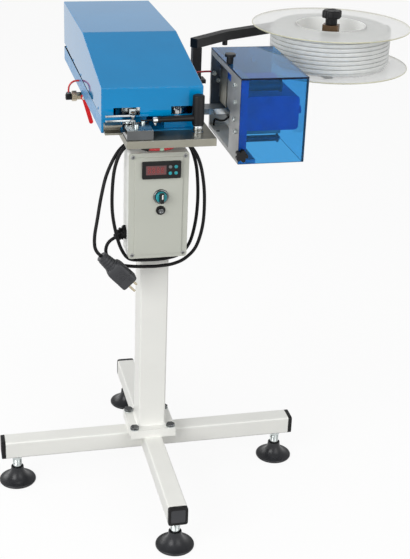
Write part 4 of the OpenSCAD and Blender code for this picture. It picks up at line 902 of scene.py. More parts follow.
class CLIPPER_OT_stand(bpy.types.Operator):
    """Finish the legs, the column, their plates, welds and bolts"""

    bl_idname = "clipper.stand"
    bl_label = "Stand"

    def execute(self, context):
        edge = context.scene.clipper_details.tube_edge
        for node in ("leg_cross", "base_flange", "column", "column_head"):
            edged(node, "powder_coat", edge)
        self.welds()
        self.caps()
        edged("stand_bolts", "die_steel", 0.7 * MM)
        self.washers()
        return {"FINISHED"}

    def caps(self):
        """End caps with rounded corners and a shallow square sunk into the outer face."""
        low, high = span("leg_caps")
        proud, thick = 0.4, 9
        level, half = (low.z + high.z) / 2, (high.z - low.z) / 2 + proud
        rings = [(half, -thick), (half, -1.4), (half - 0.35, -0.45), (half - 1.2, 0), (half - 4.6, 0),
                 (half - 5.4, -1.1)]
        bm = bmesh.new()
        for reach, axis in (
            (high.x, (1, 0, 0)), (-low.x, (-1, 0, 0)), (high.y, (0, 1, 0)), (-low.y, (0, -1, 0)),
        ):
            drawn_up(bm, rings, rounded_square(10), Vector(axis) * reach + Vector((0, 0, level)), axis, 96)
        for face in bm.faces:
            if len(face.verts) > 4:
                face.material_index = 1
        piece("leg_end_caps", bm, ["moulding", "worn_plastic"], body_of("leg_caps"), "leg_caps")

    def welds(self):
        """Weld beads round the column's foot and head."""
        low, high = span("column")
        leg, bead = 3.5, 4
        bm = bmesh.new()
        for z, end in ((low.z, low.z + bead), (high.z, high.z - bead)):
            corner = (low.x - leg, low.y - leg, min(z, end))
            made = block(bm, corner, (high.x + leg, high.y + leg, max(z, end)))
            tip = [v for v in made if abs(v.co.z - end * MM) < 1e-6]
            bmesh.ops.scale(bm, vec=(0.9, 0.9, 1), verts=tip)
        soften(bm, sharp_edges(bm), 0.9 * MM, 2)
        piece("column_welds", bm, "powder_coat", body_of("column"))

    def washers(self):
        """Washer under each of the base flange's bolts."""
        reach = 40
        ring = [(5.6, 0.05), (10, 0.05), (10, 1.1), (9.6, 1.5), (5.6, 1.5)]
        z = span("base_flange")[1].z
        bm = bmesh.new()
        for x in (-reach, reach):
            for y in (-reach, reach):
                turned(bm, ring, (x, y, z), closed=True)
        piece("flange_washers", bm, "zinc_plate", body_of("stand_bolts"))


class CLIPPER_OT_feet(bpy.types.Operator):
    """Turn the four levelling feet with their threaded studs"""

    bl_idname = "clipper.feet"
    bl_label = "Levelling feet"

    def execute(self, context):
        for node in ("foot_front", "foot_right", "foot_back", "foot_left"):
            self.foot(node, context.scene.clipper_details.thread_pitch / MM)
        return {"FINISHED"}

    def foot(self, node, pitch):
        """Dished pad, threaded stud and lock nut of one foot."""
        low, high = span(node)
        at = ((low.x + high.x) / 2, (low.y + high.y) / 2, low.z)
        rim, neck, rise, band = 38.4, 13.6, 36.0, 6.2
        pad = [(0, 0), (36.5, 0), (39.0, 0.7), (40.0, 2.2), (40.0, 4.2), (39.2, 5.6)]
        for i in range(9):
            a = math.radians(90 - 90 * i / 8)
            pad.append((rim - (rim - neck) * math.cos(a), rise - (rise - band) * math.sin(a)))
        pad += [(13.0, 36.6), (11.9, 36.6), (11.2, 36.0), (10.9, 32.5), (0, 32.5)]
        bm = bmesh.new()
        turned(bm, pad, at, steps=72)
        piece(node + "_pad", bm, "foot_moulding", body_of(node), node)
        stud = [(0, 32.6), (4.5, 33.0), (7.6, 34.6), (9.2, 37.4), (9.4, 40.5)]
        z = 41.0
        while z + pitch < high.z - low.z:
            stud += [(9.1, z), (10.0, z + 0.42 * pitch), (10.0, z + 0.6 * pitch), (9.1, z + 0.98 * pitch)]
            z += pitch
        stud += [(8.8, high.z - low.z), (0, high.z - low.z)]
        bm = bmesh.new()
        turned(bm, stud, at, steps=40)
        leg = span("leg_cross")[0].z - low.z
        nut = [(9.9, leg - 10), (11.6, leg - 10), (13, leg - 9), (13, leg - 1.4), (11.8, leg - 0.4),
               (9.9, leg - 0.4)]
        turned(bm, nut, at, steps=6, closed=True)
        piece(node + "_stud", bm, "zinc_plate", body_of(node), node)


class CLIPPER_OT_head(bpy.types.Operator):
    """Finish the work plate, the tray, the hood and its screws"""

    bl_idname = "clipper.head"
    bl_label = "Head"

    def execute(self, context):
        details = context.scene.clipper_details
        edged("work_plate", "ground_steel", details.plate_edge)
        edged("body_tray", ["tray_paint", "matt_rubber"], 0.5 * MM, shape=self.seam_shade_faces)
        self.hood(details)
        self.seam_shade_strip(details)
        self.screws()
        return {"FINISHED"}

    def seam_shade_faces(self, bm):
        """Painted shade in the seam: the tray rim's top faces, under the hood, get the matt black finish."""
        bm.normal_update()
        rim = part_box("body_tray")[1].z
        for face in bm.faces:
            if face.normal.z > FACING and abs(face.calc_center_median().z - rim) < SAME_LEVEL:
                face.material_index = 1

    def hood(self, details):
        """Hood with folded bends, its rim lifted off the tray but for the front."""
        bm = cad_copy("hood")
        seam = span("body_tray")[1].z * MM
        front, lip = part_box("hood")[0].y + 3 * MM, seam + 30 * MM
        long, least_bend = 40 * MM, math.radians(8)
        for v in bm.verts:
            if abs(v.co.z - seam) < SAME_LEVEL and v.co.y > front:
                v.co.z += details.seam_gap
        bends = [
            e for e in bm.edges
            if e.is_manifold and e.is_convex and e.calc_length() > long
            and e.calc_face_angle(0.0) > least_bend
            and (min(v.co.z for v in e.verts) > lip or abs(e.verts[0].co.z - e.verts[1].co.z) > long)
        ]
        soften(bm, bends, details.sheet_bend, 4)
        rims = [e for e in sharp_edges(bm) if e.is_convex and min(v.co.z for v in e.verts) < lip]
        soften(bm, rims, 0.35 * MM, 1)
        bm.normal_update()
        # The lifted rim's downward faces are matt black: painted shade in the seam.
        for face in bm.faces:
            rise = face.calc_center_median().z - seam - details.seam_gap
            if face.normal.z < -FACING and abs(rise) < 1 * MM:
                face.material_index = 1
        piece("hood_shell", bm, ["hood_paint", "matt_rubber"], body_of("hood"), "hood", flats=True)

    def seam_shade_strip(self, details):
        """Matt black strip inside the walls: painted shade in the seam, which also closes the seam to light.
        """
        low, high = span("hood")
        inset, thick, lap = 3.0, 1.5, 3.0
        rim = span("body_tray")[1].z
        under, over = rim - lap, rim + details.seam_gap / MM + lap
        x0, x1, y0, y1 = low.x + inset, high.x - inset, low.y + inset, high.y - inset
        bm = bmesh.new()
        block(bm, (x0, y0, under), (x0 + thick, y1, over))
        block(bm, (x1 - thick, y0, under), (x1, y1, over))
        block(bm, (x0 + thick, y1 - thick, under), (x1 - thick, y1, over))
        piece("seam_shade_strip", bm, "matt_rubber", body_of("hood"))

    def screws(self):
        """Cross-slotted heads along the hood's sides and in the control lid's corners."""
        low, high = span("hood")
        seam = span("body_tray")[1].z
        lid_low, lid_high = span("control_lid")
        count, margin, inset = 5, 40, 8
        sides, corners = [], []
        for i in range(count):
            y = low.y + margin + (high.y - low.y - 2 * margin) * i / (count - 1)
            sides.append(((low.x, y, seam + 7), (-1, 0, 0), 6, 0.9))
            sides.append(((high.x, y, seam + 30), (1, 0, 0), 6, 0.9))
        for x in (lid_low.x + inset, lid_high.x - inset):
            for z in (lid_low.z + inset, lid_high.z - inset):
                corners.append(((x, lid_low.y + 2, z), (0, -1, 0), 8.5, 1.5))
        slots = bmesh.new()
        for name, look, places in (
            ("hood_screw_heads", "hood_paint", sides), ("lid_screw_heads", "milled_plate", corners),
        ):
            heads = bmesh.new()
            for at, axis, across, height in places:
                pan_screw(heads, at, axis, across, height)
                for long, wide in ((0.32 * across, 0.07 * across), (0.07 * across, 0.32 * across)):
                    made = block(slots, (-long, -wide, 0.3), (long, wide, height + 0.08))
                    stand(slots, made, at, axis)
            piece(name, heads, look, body_of("cover_screws"), "cover_screws")
        piece("cover_screw_slots", slots, "moulding", body_of("cover_screws"), "cover_screws")


class CLIPPER_OT_works(bpy.types.Operator):
    """Dress the ram, the feed and the valves inside the head"""

    bl_idname = "clipper.works"
    bl_label = "Inner works"

    def execute(self, context):
        for node, name in (
            ("air_cylinder", "milled_plate"), ("ram_guide", "hood_paint"), ("feed_unit", "hood_paint"),
            ("valve_block", "milled_plate"), ("reel_spindle", "bright_steel"),
        ):
            dressed(node, name)
        edged("closing_ram", "bright_steel", 0.6 * MM)
        for node in ("drive_roller", "pinch_roller"):
            edged(node, "bright_steel", 0.4 * MM)
        return {"FINISHED"}


class CLIPPER_OT_closing(bpy.types.Operator):
    """Finish the die, the bag guides, the finger and the feeler on its post"""

    bl_idname = "clipper.closing"
    bl_label = "Bag closing"

    def execute(self, context):
        edged("die_block", ["die_steel", "zinc_plate"], 0.8 * MM, shape=self.die_faces)
        edged("bag_guides", "ground_steel", 0.5 * MM)
        edged("trigger_finger", "bright_steel", 0.5 * MM, shape=self.finger)
        edged("arm_post", "bright_steel", 0.8 * MM)
        self.lower_finger()
        self.die_screws()
        self.pivot_cap()
        self.sleeve()
        self.feeler()
        return {"FINISHED"}

    def die_faces(self, bm):
        """The die's top gets the paler zinc finish as a painted sheen, and the pin under the finger is slim.
        """
        bm.normal_update()
        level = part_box("die_block")[0].z + DIE_TOP * MM
        for face in bm.faces:
            if face.normal.z > FACING and abs(face.calc_center_median().z - level) < SAME_LEVEL:
                face.material_index = 1
        pin = mm(*FINGER_PIN, 0)
        rim = [v for v in bm.verts if v.co.z > level - SAME_LEVEL and (v.co - pin).xy.length < 8 * MM]
        bmesh.ops.scale(bm, vec=(0.55, 0.55, 1), space=Matrix.Translation(-pin), verts=rim)

    def finger(self, bm):
        """The finger is a thin spring, its tip curved up."""
        low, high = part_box("trigger_finger")
        centre = (low.z + high.z) / 2
        thin, rise, drop = 0.62, 4.2, 1.2
        for v in bm.verts:
            reach = (high.x - v.co.x) / (high.x - low.x)
            v.co.z = centre + thin * (v.co.z - centre) + (rise * reach**2 - drop) * MM

    def lower_finger(self):
        """Fixed finger on the same pin, under the one that moves."""
        below = 9.4
        bm = cad_copy("trigger_finger")
        self.finger(bm)
        bmesh.ops.translate(bm, vec=mm(0, 0, -below), verts=bm.verts)
        soften(bm, sharp_edges(bm), 0.5 * MM)
        piece("lower_finger", bm, "bright_steel", body_of("bag_guides"))

    def die_screws(self):
        z = span("die_block")[0].z + DIE_TOP
        bm = bmesh.new()
        for x, y in ((-76, -118), (-62, -139), (-45, -115)):
            cap_screw(bm, (x, y, z), (0, 0, 1), 9, 5)
        piece("die_screw_heads", bm, "zinc_plate", body_of("die_screws"), "die_screws")

    def pivot_cap(self):
        bm = bmesh.new()
        top = span("die_block")[1].z
        turned(bm, [(3.6, -0.6), (4.2, 0), (4.2, 0.8), (3.2, 1.6), (0, 1.9)], (*FINGER_PIN, top))
        piece("finger_pivot_cap", bm, "bronze_hex", body_of("die_block"))

    def sleeve(self):
        """Black grip over the post, and the bright collar under it."""
        low, high = span("arm_sleeve")
        middle_x, middle_y = (low.x + high.x) / 2, (low.y + high.y) / 2
        tall = high.z - low.z
        bm = bmesh.new()
        turned(
            bm,
            [(5.1, 0), (10.6, 0), (11.5, 1.0), (11.5, 3.2), (11.1, 3.6), (11.1, 4.4), (11.5, 4.8),
             (11.5, tall - 2.6), (10.8, tall - 0.9), (9.4, tall), (0, tall)],
            (middle_x, middle_y, low.z), steps=64,
        )
        piece("arm_sleeve_grip", bm, "moulding", body_of("arm_sleeve"), "arm_sleeve")
        bm = bmesh.new()
        turned(
            bm,
            [(5.2, 0), (10.6, 0), (11, 0.5), (11, 2), (10.4, 2.5), (9.2, 2.6), (9.2, 6.2), (9.8, 6.8),
             (9.8, 12.8), (9.2, 13.6), (5.2, 13.6)],
            (middle_x, middle_y, span("work_plate")[1].z), closed=True,
        )
        piece("post_collar", bm, "bright_steel", body_of("arm_post"))

    def feeler(self):
        """Tapered bar on the sleeve, with the knuckle, its foot and the thin rod."""
        post = middle("arm_sleeve")
        turn, rise = math.radians(184), 14
        along = Vector((math.cos(turn), math.sin(turn), 0))
        root = Vector((post.x, post.y, span("arm_sleeve")[0].z + rise))
        taper = [(0, 9.4), (6.5, 9.6), (6.45, 16), (5.25, 70), (5.25, 72), (6.1, 73), (6.1, 79), (5.4, 80),
                 (0, 80)]
        bm = bmesh.new()
        turned(bm, taper, root, along, 40)
        body = body_of("feeler_arm")
        piece("feeler_bar", bm, "moulding", body, "feeler_arm")
        bm = bmesh.new()
        turned(bm, [(0, 80), (5.2, 80), (6, 80.8), (6, 88.2), (5.2, 89), (0, 89)], root, along, 40)
        knuckle, drop = 84.5, 10.2
        foot = root + along * knuckle - Vector((0, 0, drop))
        turned(bm, [(0, 0), (2.4, 0), (2.9, 0.5), (2.9, 5), (0, 5)], foot, steps=24)
        piece("feeler_knuckle", bm, "bright_steel", body, "feeler_arm")
        bm = bmesh.new()
        turned(bm, [(1.5, 88.6), (1.5, 112), (0.9, 113), (0, 113)], root, along, 24)
        piece("feeler_rod", bm, "moulding", body, "feeler_arm")


class CLIPPER_OT_valve(bpy.types.Operator):
    """Finish the air valve, its elbow and its lever"""

    bl_idname = "clipper.valve"
    bl_label = "Air valve"

    def execute(self, context):
        edged("valve_body", "nickel_plate", 0.5 * MM)
        edged("valve_lever", "lever_vinyl", 1.1 * MM, 3)
        edged("valve_elbow", "moulding", 1.4 * MM, 3)
        low, high = span("valve_elbow")
        mouth = ((low.x + high.x) / 2, middle("valve_elbow").y, high.z)
        bm = bmesh.new()
        turned(bm, [(2.2, 0), (5.2, 0), (5.2, 1.2), (4.4, 2.2), (2.2, 2.2)], mouth, closed=True)
        piece("elbow_collet", bm, "grey_key", body_of("valve_elbow"))
        lever = span("valve_lever")[0]
        stem = (lever.x + 6.5, lever.y, span("valve_body")[1].z - 16)
        bm = bmesh.new()
        turned(bm, [(0, 4.6), (3.6, 4.6), (4.6, 3.8), (4.6, 0), (0, 0)], stem, (0, -1, 0), 6)
        piece("lever_nut", bm, "zinc_plate", body_of("valve_body"))
        return {"FINISHED"}


class CLIPPER_OT_control_box(bpy.types.Operator):
    """Finish the control box, its lid, display, keys, selector, button and gland"""

    bl_idname = "clipper.control_box"
    bl_label = "Control box"

    def execute(self, context):
        edge = context.scene.clipper_details.moulding_edge
        edged("control_case", "case_moulding", edge, 3)
        edged("control_lid", "box_moulding", 0.7 * MM, 2)
        self.display()
        self.keys()
        self.selector()
        self.button()
        self.gland()
        return {"FINISHED"}

    def display(self):
        """Bezel, red window and four digits of the display."""
        edged("display_module", "moulding", 0.5 * MM)
        low, high = span("display_module")
        body = body_of("display_module")
        x0, x1 = low.x + 7, low.x + 48
        z0, z1 = low.z + 8, high.z - 8
        front = low.y + 0.7
        bm = bmesh.new()
        block(bm, (x0, front, z0), (x1, low.y + 1.25, z1), 0.2)
        piece("display_window", bm, "display_window", body)
        bm = bmesh.new()
        for i in range(4):
            self.digit(bm, x0 + 4.2 + 8.6 * i, (z0 + z1) / 2, front)
        piece("display_digits", bm, "display_digit", body)

    def digit(self, bm, x, z, front):
        """Seven unlit segments of one digit."""
        wide, tall, bar = 5.6, 12.0, 1.5
        near, far = front - 0.12, front + 0.05
        for level in (-1, 0, 1):
            rise = z + level * (tall - bar) / 2
            block(bm, (x + bar * 0.7, near, rise - bar / 2), (x + wide - bar * 0.7, far, rise + bar / 2))
        for side in (0, 1):
            left = x + side * (wide - bar)
            for level in (-1, 1):
                rise, half = z + level * tall / 4, tall / 4 - bar * 0.6
                block(bm, (left, near, rise - half), (left + bar, far, rise + half))

    def keys(self):
        for i, name in ((1, "teal_key"), (2, "grey_key"), (3, "teal_key"), (4, "teal_key")):
            node = "display_key_%d" % i
            low, high = span(node)
            at = ((low.x + high.x) / 2, high.y, (low.z + high.z) / 2)
            deep = high.y - low.y
            dome = [(0, 0), (3.5, 0), (3.5, deep - 1.0), (3.25, deep - 0.45), (2.6, deep - 0.12), (0, deep)]
            bm = bmesh.new()
            turned(bm, dome, at, (0, -1, 0), 32)
            piece(node + "_cap", bm, name, body_of(node), node)

    def selector(self):
        """Steel ring, teal plate, black bar and white pointer of the selector."""
        ring = middle("selector_bezel")
        lid = span("control_lid")[0].y
        at = (ring.x, lid, ring.z)
        bm = bmesh.new()
        turned(
            bm,
            [(11.2, -2), (11.6, -2), (11.6, 0), (15.2, 0), (15.2, 2.2), (14.4, 3.4), (12.8, 3.8),
             (11.9, 3.6), (11.2, 2.6)],
            at, (0, -1, 0), 64, True,
        )
        piece("selector_ring", bm, "die_steel", body_of("selector_bezel"), "selector_bezel")
        body = body_of("selector_knob")
        disc = [(0, -4), (11, -4), (11, 7.6), (10.2, 8.8), (9.2, 9), (8.5, 8.6), (0, 8.6)]
        bm = bmesh.new()
        turned(bm, disc, at, (0, -1, 0), 64)
        piece("selector_plate", bm, "teal_key", body, "selector_knob")
        bm = bmesh.new()
        made = block(bm, (ring.x - 5, lid - 17, ring.z - 10.4), (ring.x + 5, lid - 8.4, ring.z + 10.4))
        tip = [v for v in made if v.co.y < (lid - 16) * MM]
        bmesh.ops.scale(bm, vec=(0.72, 1, 0.94), space=Matrix.Translation(-mm(*at)), verts=tip)
        soften(bm, sharp_edges(bm), 1.3 * MM, 3)
        piece("selector_bar", bm, "moulding", body, "selector_knob")
        bm = bmesh.new()
        block(bm, (ring.x - 0.9, lid - 17.15, ring.z - 0.5), (ring.x + 1.7, lid - 16.6, ring.z + 8.8), 0.15)
        piece("selector_pointer", bm, "pointer_paint", body)

    def button(self):
        """Collar and cap of the push button."""
        ring = middle("button_ring")
        at = (ring.x, span("control_lid")[0].y, ring.z)
        collar = [(5.6, -3), (8, -3), (8, 0), (9.5, 0), (9.5, 1.8), (8.6, 3), (5.6, 3)]
        cap = [(0, -11), (5.5, -11), (5.5, 6.2), (5.0, 6.9), (4.2, 7), (3.6, 6.4), (0, 5.9)]
        bm = bmesh.new()
        turned(bm, collar, at, (0, -1, 0), 48, True)
        piece("button_collar", bm, "moulding", body_of("button_ring"), "button_ring")
        bm = bmesh.new()
        turned(bm, cap, at, (0, -1, 0), 48)
        piece("button_cap", bm, "die_steel", body_of("push_button"), "push_button")

    def gland(self):
        """Gland with its hexagon nut on the case's wall and its ribbed boot."""
        edged("cable_gland", "moulding", 0.7 * MM)
        low, high = span("cable_gland")
        depth, droop = middle("cable_gland").y, math.radians(30)
        root = Vector((-71.45, depth, 603.2))
        way = Vector((-math.cos(droop), 0, -math.sin(droop)))
        boot = [(4.2, 0), (12.6, 0), (13, 0.8), (12.8, 4.4), (10.8, 5), (10.8, 6.2), (11.8, 6.8),
                (11.2, 9.6), (9.2, 10.2), (9.2, 11.4), (10, 12), (9.2, 14.6), (7.4, 15.2), (7.4, 16.2),
                (7.8, 16.8), (6.6, 20), (4.2, 20.4)]
        nut = [(8.8, 0), (14.5, 0), (14.5, 5.6), (13.4, 6.6), (8.8, 6.6)]
        bm = bmesh.new()
        turned(bm, boot, root, way, 32, True)
        wall = (span("control_case")[0].x, depth, (low.z + high.z) / 2 + 3)
        turned(bm, nut, wall, (-1, 0, 0), 6, True)
        piece("gland_ribs", bm, "rubber", body_of("cable_gland"))


class CLIPPER_OT_reel(bpy.types.Operator):
    """Turn the reel, wind the clip strip and finish the spacer and the star knob"""

    bl_idname = "clipper.reel"
    bl_label = "Strip reel"

    def execute(self, context):
        low, high = span("reel_spool")
        self.at = ((low.x + high.x) / 2, (low.y + high.y) / 2, low.z)
        self.tall = high.z - low.z
        self.steps = context.scene.clipper_details.reel_steps
        self.spool((high.x - low.x) / 2)
        self.core()
        self.strip()
        edged("reel_spacer", "bronze_hex", 1.0 * MM)
        self.star_knob()
        return {"FINISHED"}

    def star_knob(self):
        """Knob with six lobes on a short neck."""
        low, high = span("reel_knob")
        tall, hub = high.z - low.z, 14.0
        at = (self.at[0], self.at[1], low.z)
        bm = bmesh.new()
        turned(bm, [(8.2, 0), (12.4, 0), (13, 0.6), (13, hub + 0.5), (8.2, hub + 0.5)], at, closed=True)
        drawn_up(
            bm,
            [(18.5, hub), (20.6, hub + 0.5), (21.7, hub + 1.6), (22, hub + 3), (22, tall - 4),
             (21.5, tall - 1.9), (20.2, tall - 0.6), (18.4, tall), (10.5, tall), (9.8, tall - 0.8),
             (4, tall - 0.8)],
            lobes(6, 0.2), at,
        )
        piece("reel_star_knob", bm, "moulding", body_of("reel_knob"), "reel_knob")

    def spool(self, rim):
        """Spool turned in one: two clear flanges with pale rims, a milky hub, and a web inside it."""
        t, wall, hub, web = 3.0, 75.0, 79.0, 45.0
        top = self.tall
        loop = [
            (8.1, 0), (14, 0), (14, web), (wall, web), (wall, 0), (rim - 1, 0), (rim, 0.8), (rim, t - 0.8),
            (rim - 1, t), (hub + 1.5, t), (hub, t + 1.5), (hub, top - t - 1.5), (hub + 1.5, top - t),
            (rim - 1, top - t), (rim, top - t + 0.8), (rim, top - 0.8), (rim - 1, top), (wall + 1.2, top),
            (wall, top - 1.2), (wall, web + 6.5), (wall - 1.5, web + 5), (8.1, web + 5),
        ]
        bm = bmesh.new()
        turned(bm, loop, self.at, steps=self.steps, closed=True)
        centre = mm(*self.at).to_2d()
        for face in bm.faces:
            reach = [(v.co.to_2d() - centre).length for v in face.verts]
            if min(reach) > (rim - 1.2) * MM:
                face.material_index = 1
            elif max(reach) < (hub + 0.1) * MM:
                face.material_index = 2
        looks = ["reel_moulding", "reel_rim", "reel_hub"]
        piece("reel_spool_moulding", bm, looks, body_of("reel_spool"), "reel_spool")

    def core(self):
        """Inner layers of strip, their edges showing as rings under the flanges."""
        low, high = 3.5, self.tall - 3.5
        inner, outer, layer = 79.5, 126.0, 5.1
        rings = int((outer - inner) / layer)
        under, over = [], []
        for i in range(rings):
            r = inner + layer * i
            under += [(r, low + 0.9), (r + 0.5, low), (r + layer - 0.5, low), (r + layer, low + 0.9)]
            top = [(r + layer, high - 0.9), (r + layer - 0.5, high), (r + 0.5, high), (r, high - 0.9)]
            over = top + over
        loop = []
        for p in under + over:
            if not loop or (abs(p[0] - loop[-1][0]) + abs(p[1] - loop[-1][1])) > 1e-6:
                loop.append(p)
        bm = bmesh.new()
        turned(bm, loop, self.at, steps=self.steps, closed=True)
        piece("clip_strip_layers", bm, "strip", body_of("clip_strip"), "clip_strip")

    def strip(self):
        """Outer layer: one run of strip wound as a helix from flange to flange."""
        turns, pitch, radius = 8, 9.2, 129.5
        start = (self.tall - turns * pitch) / 2
        bm = bmesh.new()
        section = [(-2.0, -4.1), (1.6, -4.1), (2.3, -3.3), (2.5, 0), (2.3, 3.3), (1.6, 4.1), (-2.0, 4.1),
                   (-2.4, 3.6), (-2.4, -3.6)]
        ring = [bm.verts.new(((radius + a) * MM, 0, (start + b) * MM)) for a, b in section]
        face = bm.faces.new(ring)
        steps = turns * self.steps
        bmesh.ops.spin(
            bm, geom=[face] + list(face.edges) + ring, cent=(0, 0, 0), axis=(0, 0, 1),
            dvec=(0, 0, pitch / self.steps * MM), angle=2 * math.pi * turns, steps=steps, use_merge=False,
        )
        bmesh.ops.remove_doubles(bm, verts=bm.verts, dist=TINY)
        bmesh.ops.recalc_face_normals(bm, faces=bm.faces)
        bmesh.ops.translate(bm, vec=mm(*self.at), verts=bm.verts)
        piece("clip_strip_winding", bm, "strip", body_of("clip_strip"), "clip_strip")


class CLIPPER_OT_reel_arm(bpy.types.Operator):
    """Round the edges of the reel's arm and paint it"""

    bl_idname = "clipper.reel_arm"
    bl_label = "Reel arm"

    def execute(self, context):
        edged("reel_arm", "arm_paint", 1.6 * MM, 3)
        return {"FINISHED"}


class CLIPPER_OT_coder(bpy.types.Operator):
    """Finish the coder: its frame and bolts, print head, foil spools, guard and knobs"""

    bl_idname = "clipper.coder"
    bl_label = "Coder"

    def execute(self, context):
        # Besides the milled plate, the frame's finishes paint light and shade onto chosen faces.
        looks = ["milled_plate", "painted_guard_light", "bright_steel", "powder_coat", "painted_shade"]
        edged("coder_frame", looks, context.scene.clipper_details.plate_edge, shape=self.frame_faces)
        # The print head's blue is painted light: the tint of light through the guard.
        looks = ["painted_guard_light", "bronze_hex", "milled_plate"]
        edged("print_head", looks, 2.6 * MM, 3, shape=self.type_plate)
        self.bolts()
        self.pale_end_strip()
        self.foil("foil_supply", 10)
        self.foil("foil_takeup", 6.5)
        self.guard()
        for node in ("guard_front_knob", "guard_top_knob"):
            edged(node, "moulding", 0.9 * MM, 2)
        return {"FINISHED"}

    def looks_front(self, face, depth):
        """Whether a face looks to the front and lies at a depth."""
        return face.normal.y < -FACING and abs(face.calc_center_median().y - depth) < 1 * MM

    def frame_faces(self, bm):
        """Painted light and shade by face: the post's front in the blue of light through the guard, a
        painted highlight on the bar's front, the base plate white as painted light, and painted shade on the
        back plate's left end.
        """
        blue_light, bright, painted, dark = 1, 2, 3, 4
        up, right = (0, 0, 1), (1, 0, 0)
        bm.normal_update()
        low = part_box("coder_frame")[0]
        wall, bar, end = BACK_PLATE_FRONT * MM, BAR_TOP * MM, SHADE_END * MM
        floor = low.z + BASE_PLATE_THICK * MM
        # Cuts the fronts where the painted highlight, light and shade begin.
        for depth, place, way in (
            (wall, (0, 0, bar), up), (wall, (end, 0, 0), right), (low.y, (0, 0, floor), up),
        ):
            fronts = [f for f in bm.faces if self.looks_front(f, depth)]
            near = {g for f in fronts for g in (f, *f.edges, *f.verts)}
            bmesh.ops.bisect_plane(bm, geom=list(near), dist=TINY, plane_co=place, plane_no=way)
            bm.normal_update()
        for face in bm.faces:
            at = face.calc_center_median()
            # Painted light: the post's front takes the blue of light through the guard; the base plate's
            # front under it takes the white coat.
            if self.looks_front(face, low.y):
                face.material_index = blue_light if at.z > floor else painted
            # Painted highlight: the bar's front takes bright steel to look lit.
            elif self.looks_front(face, BAR_FRONT * MM):
                face.material_index = bright
            # Painted light: the base plate's top, which lies in shade, takes the white coat.
            elif face.normal.z > FACING and at.z < floor + 1 * MM:
                face.material_index = painted
            # Painted shade on the back plate's left end, above the bar.
            elif self.looks_front(face, wall) and at.z > bar and at.x < end:
                face.material_index = dark

    def type_plate(self, bm):
        """The plate under the print head and the head's milled end have their own finishes."""
        bm.normal_update()
        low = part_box("print_head")[0]
        for face in bm.faces:
            if max(v.co.z for v in face.verts) < low.z + 8.1 * MM:
                face.material_index = 1
            elif face.normal.x < -FACING and max(v.co.x for v in face.verts) < low.x + 1 * MM:
                face.material_index = 2

    def bolts(self):
        """Bolts of the side and back plates, and a plug in the base plate."""
        plug_at = (147.5, 64.4, 770)
        bm = bmesh.new()
        for y, z in ((-88, 910), (-94, 878), (-92, 843), (-104, 822)):
            cap_screw(bm, (CODER_LEFT, y, z), (-1, 0, 0), 10, 5.5)
        for x, z in ((147, 881), (156, 866), (230, 905), (230, 840)):
            cap_screw(bm, (x, BACK_PLATE_FRONT, z), (0, -1, 0), 10, 6)
        piece("coder_bolts", bm, "zinc_plate", body_of("coder_frame"))
        bm = bmesh.new()
        turned(bm, [(0, 0.1), (2.9, 0.1), (3.6, 0.35), (3.9, 0.05)], plug_at, steps=32)
        piece("base_plug", bm, "rubber", body_of("coder_frame"))

    def pale_end_strip(self):
        """Pale strip of ground steel on the print head's left end."""
        left, top = span("print_head")[0].x, span("print_head")[1].z
        front, back, drop, rise = 46, 99, 66, 23
        bm = bmesh.new()
        block(bm, (left - 1.8, front, top - drop), (left + 0.2, back, top + rise), 0.5)
        piece("head_pale_strip", bm, "ground_steel", body_of("print_head"))

    def foil(self, node, radius):
        """Spool wound with foil to a radius."""
        low, high = span(node)
        wide, rim = high.x - low.x, (high.z - low.z) / 2
        at = (low.x, middle(node).y, middle(node).z)
        bm = bmesh.new()
        turned(
            bm,
            [(4.1, 0), (rim - 0.8, 0), (rim, 0.7), (rim, 2.3), (rim - 0.8, 3), (radius, 3),
             (radius, wide - 3), (rim - 0.8, wide - 3), (rim, wide - 2.3), (rim, wide - 0.7),
             (rim - 0.8, wide), (4.1, wide)],
            at, (1, 0, 0), 64, True,
        )
        piece(node + "_roll", bm, "foil_wrap", body_of(node), node)

    def guard(self):
        """Three sheets of acrylic: the top laid over the front and the side."""
        low, high = span("guard")
        t, joint = 3.8, 0.25
        under = high.z - t - joint
        blue, clear = ["acrylic", "acrylic_edge"], ["acrylic_clear"]
        sheets = (
            ("guard_top", (low.x, low.y, high.z - t), (high.x, high.y, high.z), 2, blue),
            ("guard_front", (low.x, low.y, low.z), (high.x, low.y + t, under), 1, blue),
            ("guard_side", (high.x - t, low.y + t + joint, low.z), (high.x, high.y, under), 0, clear),
        )
        for name, corner, opposite, thin, looks in sheets:
            bm = bmesh.new()
            block(bm, corner, opposite, 0.35, 1)
            bm.normal_update()
            for face in bm.faces:
                if abs(face.normal[thin]) < 0.5:
                    face.material_index = len(looks) - 1
            piece(name, bm, looks, body_of("guard"), "guard")


OPERATORS = (
    CLIPPER_OT_stage, CLIPPER_OT_cords, CLIPPER_OT_stand, CLIPPER_OT_feet, CLIPPER_OT_head,
    CLIPPER_OT_works, CLIPPER_OT_closing, CLIPPER_OT_valve, CLIPPER_OT_control_box, CLIPPER_OT_reel,
    CLIPPER_OT_reel_arm, CLIPPER_OT_coder,
)
SETTINGS = (
    ("clipper_stage", ClipperStage),
    ("clipper_colours", ClipperColours),
    ("clipper_details", ClipperDetails),
)


class CLIPPER_PT_panel(bpy.types.Panel):
    """Settings of the clipping machine and the steps that make it"""

    bl_idname = "CLIPPER_PT_panel"
    bl_label = "Bag clipping machine"
    bl_space_type = "VIEW_3D"
    bl_region_type = "UI"
    bl_category = "Clipper"

    def draw(self, context):
        for attribute, group in SETTINGS:
            box = self.layout.box()
            box.label(text=group.__doc__)
            for key in group.__annotations__:
                box.prop(getattr(context.scene, attribute), key)
        for operator in OPERATORS:
            self.layout.operator(operator.bl_idname)


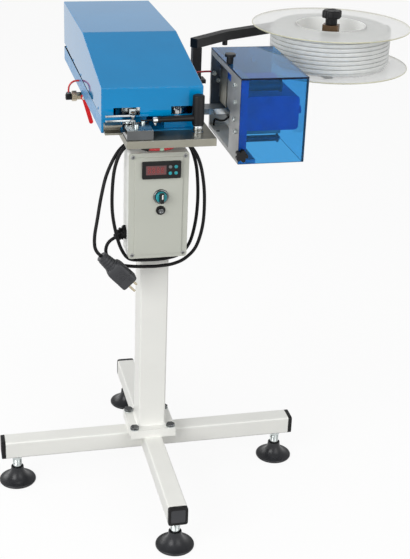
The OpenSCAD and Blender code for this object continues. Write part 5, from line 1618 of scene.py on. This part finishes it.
def register():
    for _, group in SETTINGS:
        bpy.utils.register_class(group)
    for attribute, group in SETTINGS:
        setattr(bpy.types.Scene, attribute, PointerProperty(type=group))
    for operator in OPERATORS:
        bpy.utils.register_class(operator)
    bpy.utils.register_class(CLIPPER_PT_panel)


def unregister():
    bpy.utils.unregister_class(CLIPPER_PT_panel)
    for operator in reversed(OPERATORS):
        bpy.utils.unregister_class(operator)
    for attribute, group in reversed(SETTINGS):
        delattr(bpy.types.Scene, attribute)
        bpy.utils.unregister_class(group)


def main():
    register()
    for operator in OPERATORS:
        getattr(bpy.ops.clipper, operator.bl_idname.split(".")[1])()


if __name__ == "__main__":
    main()
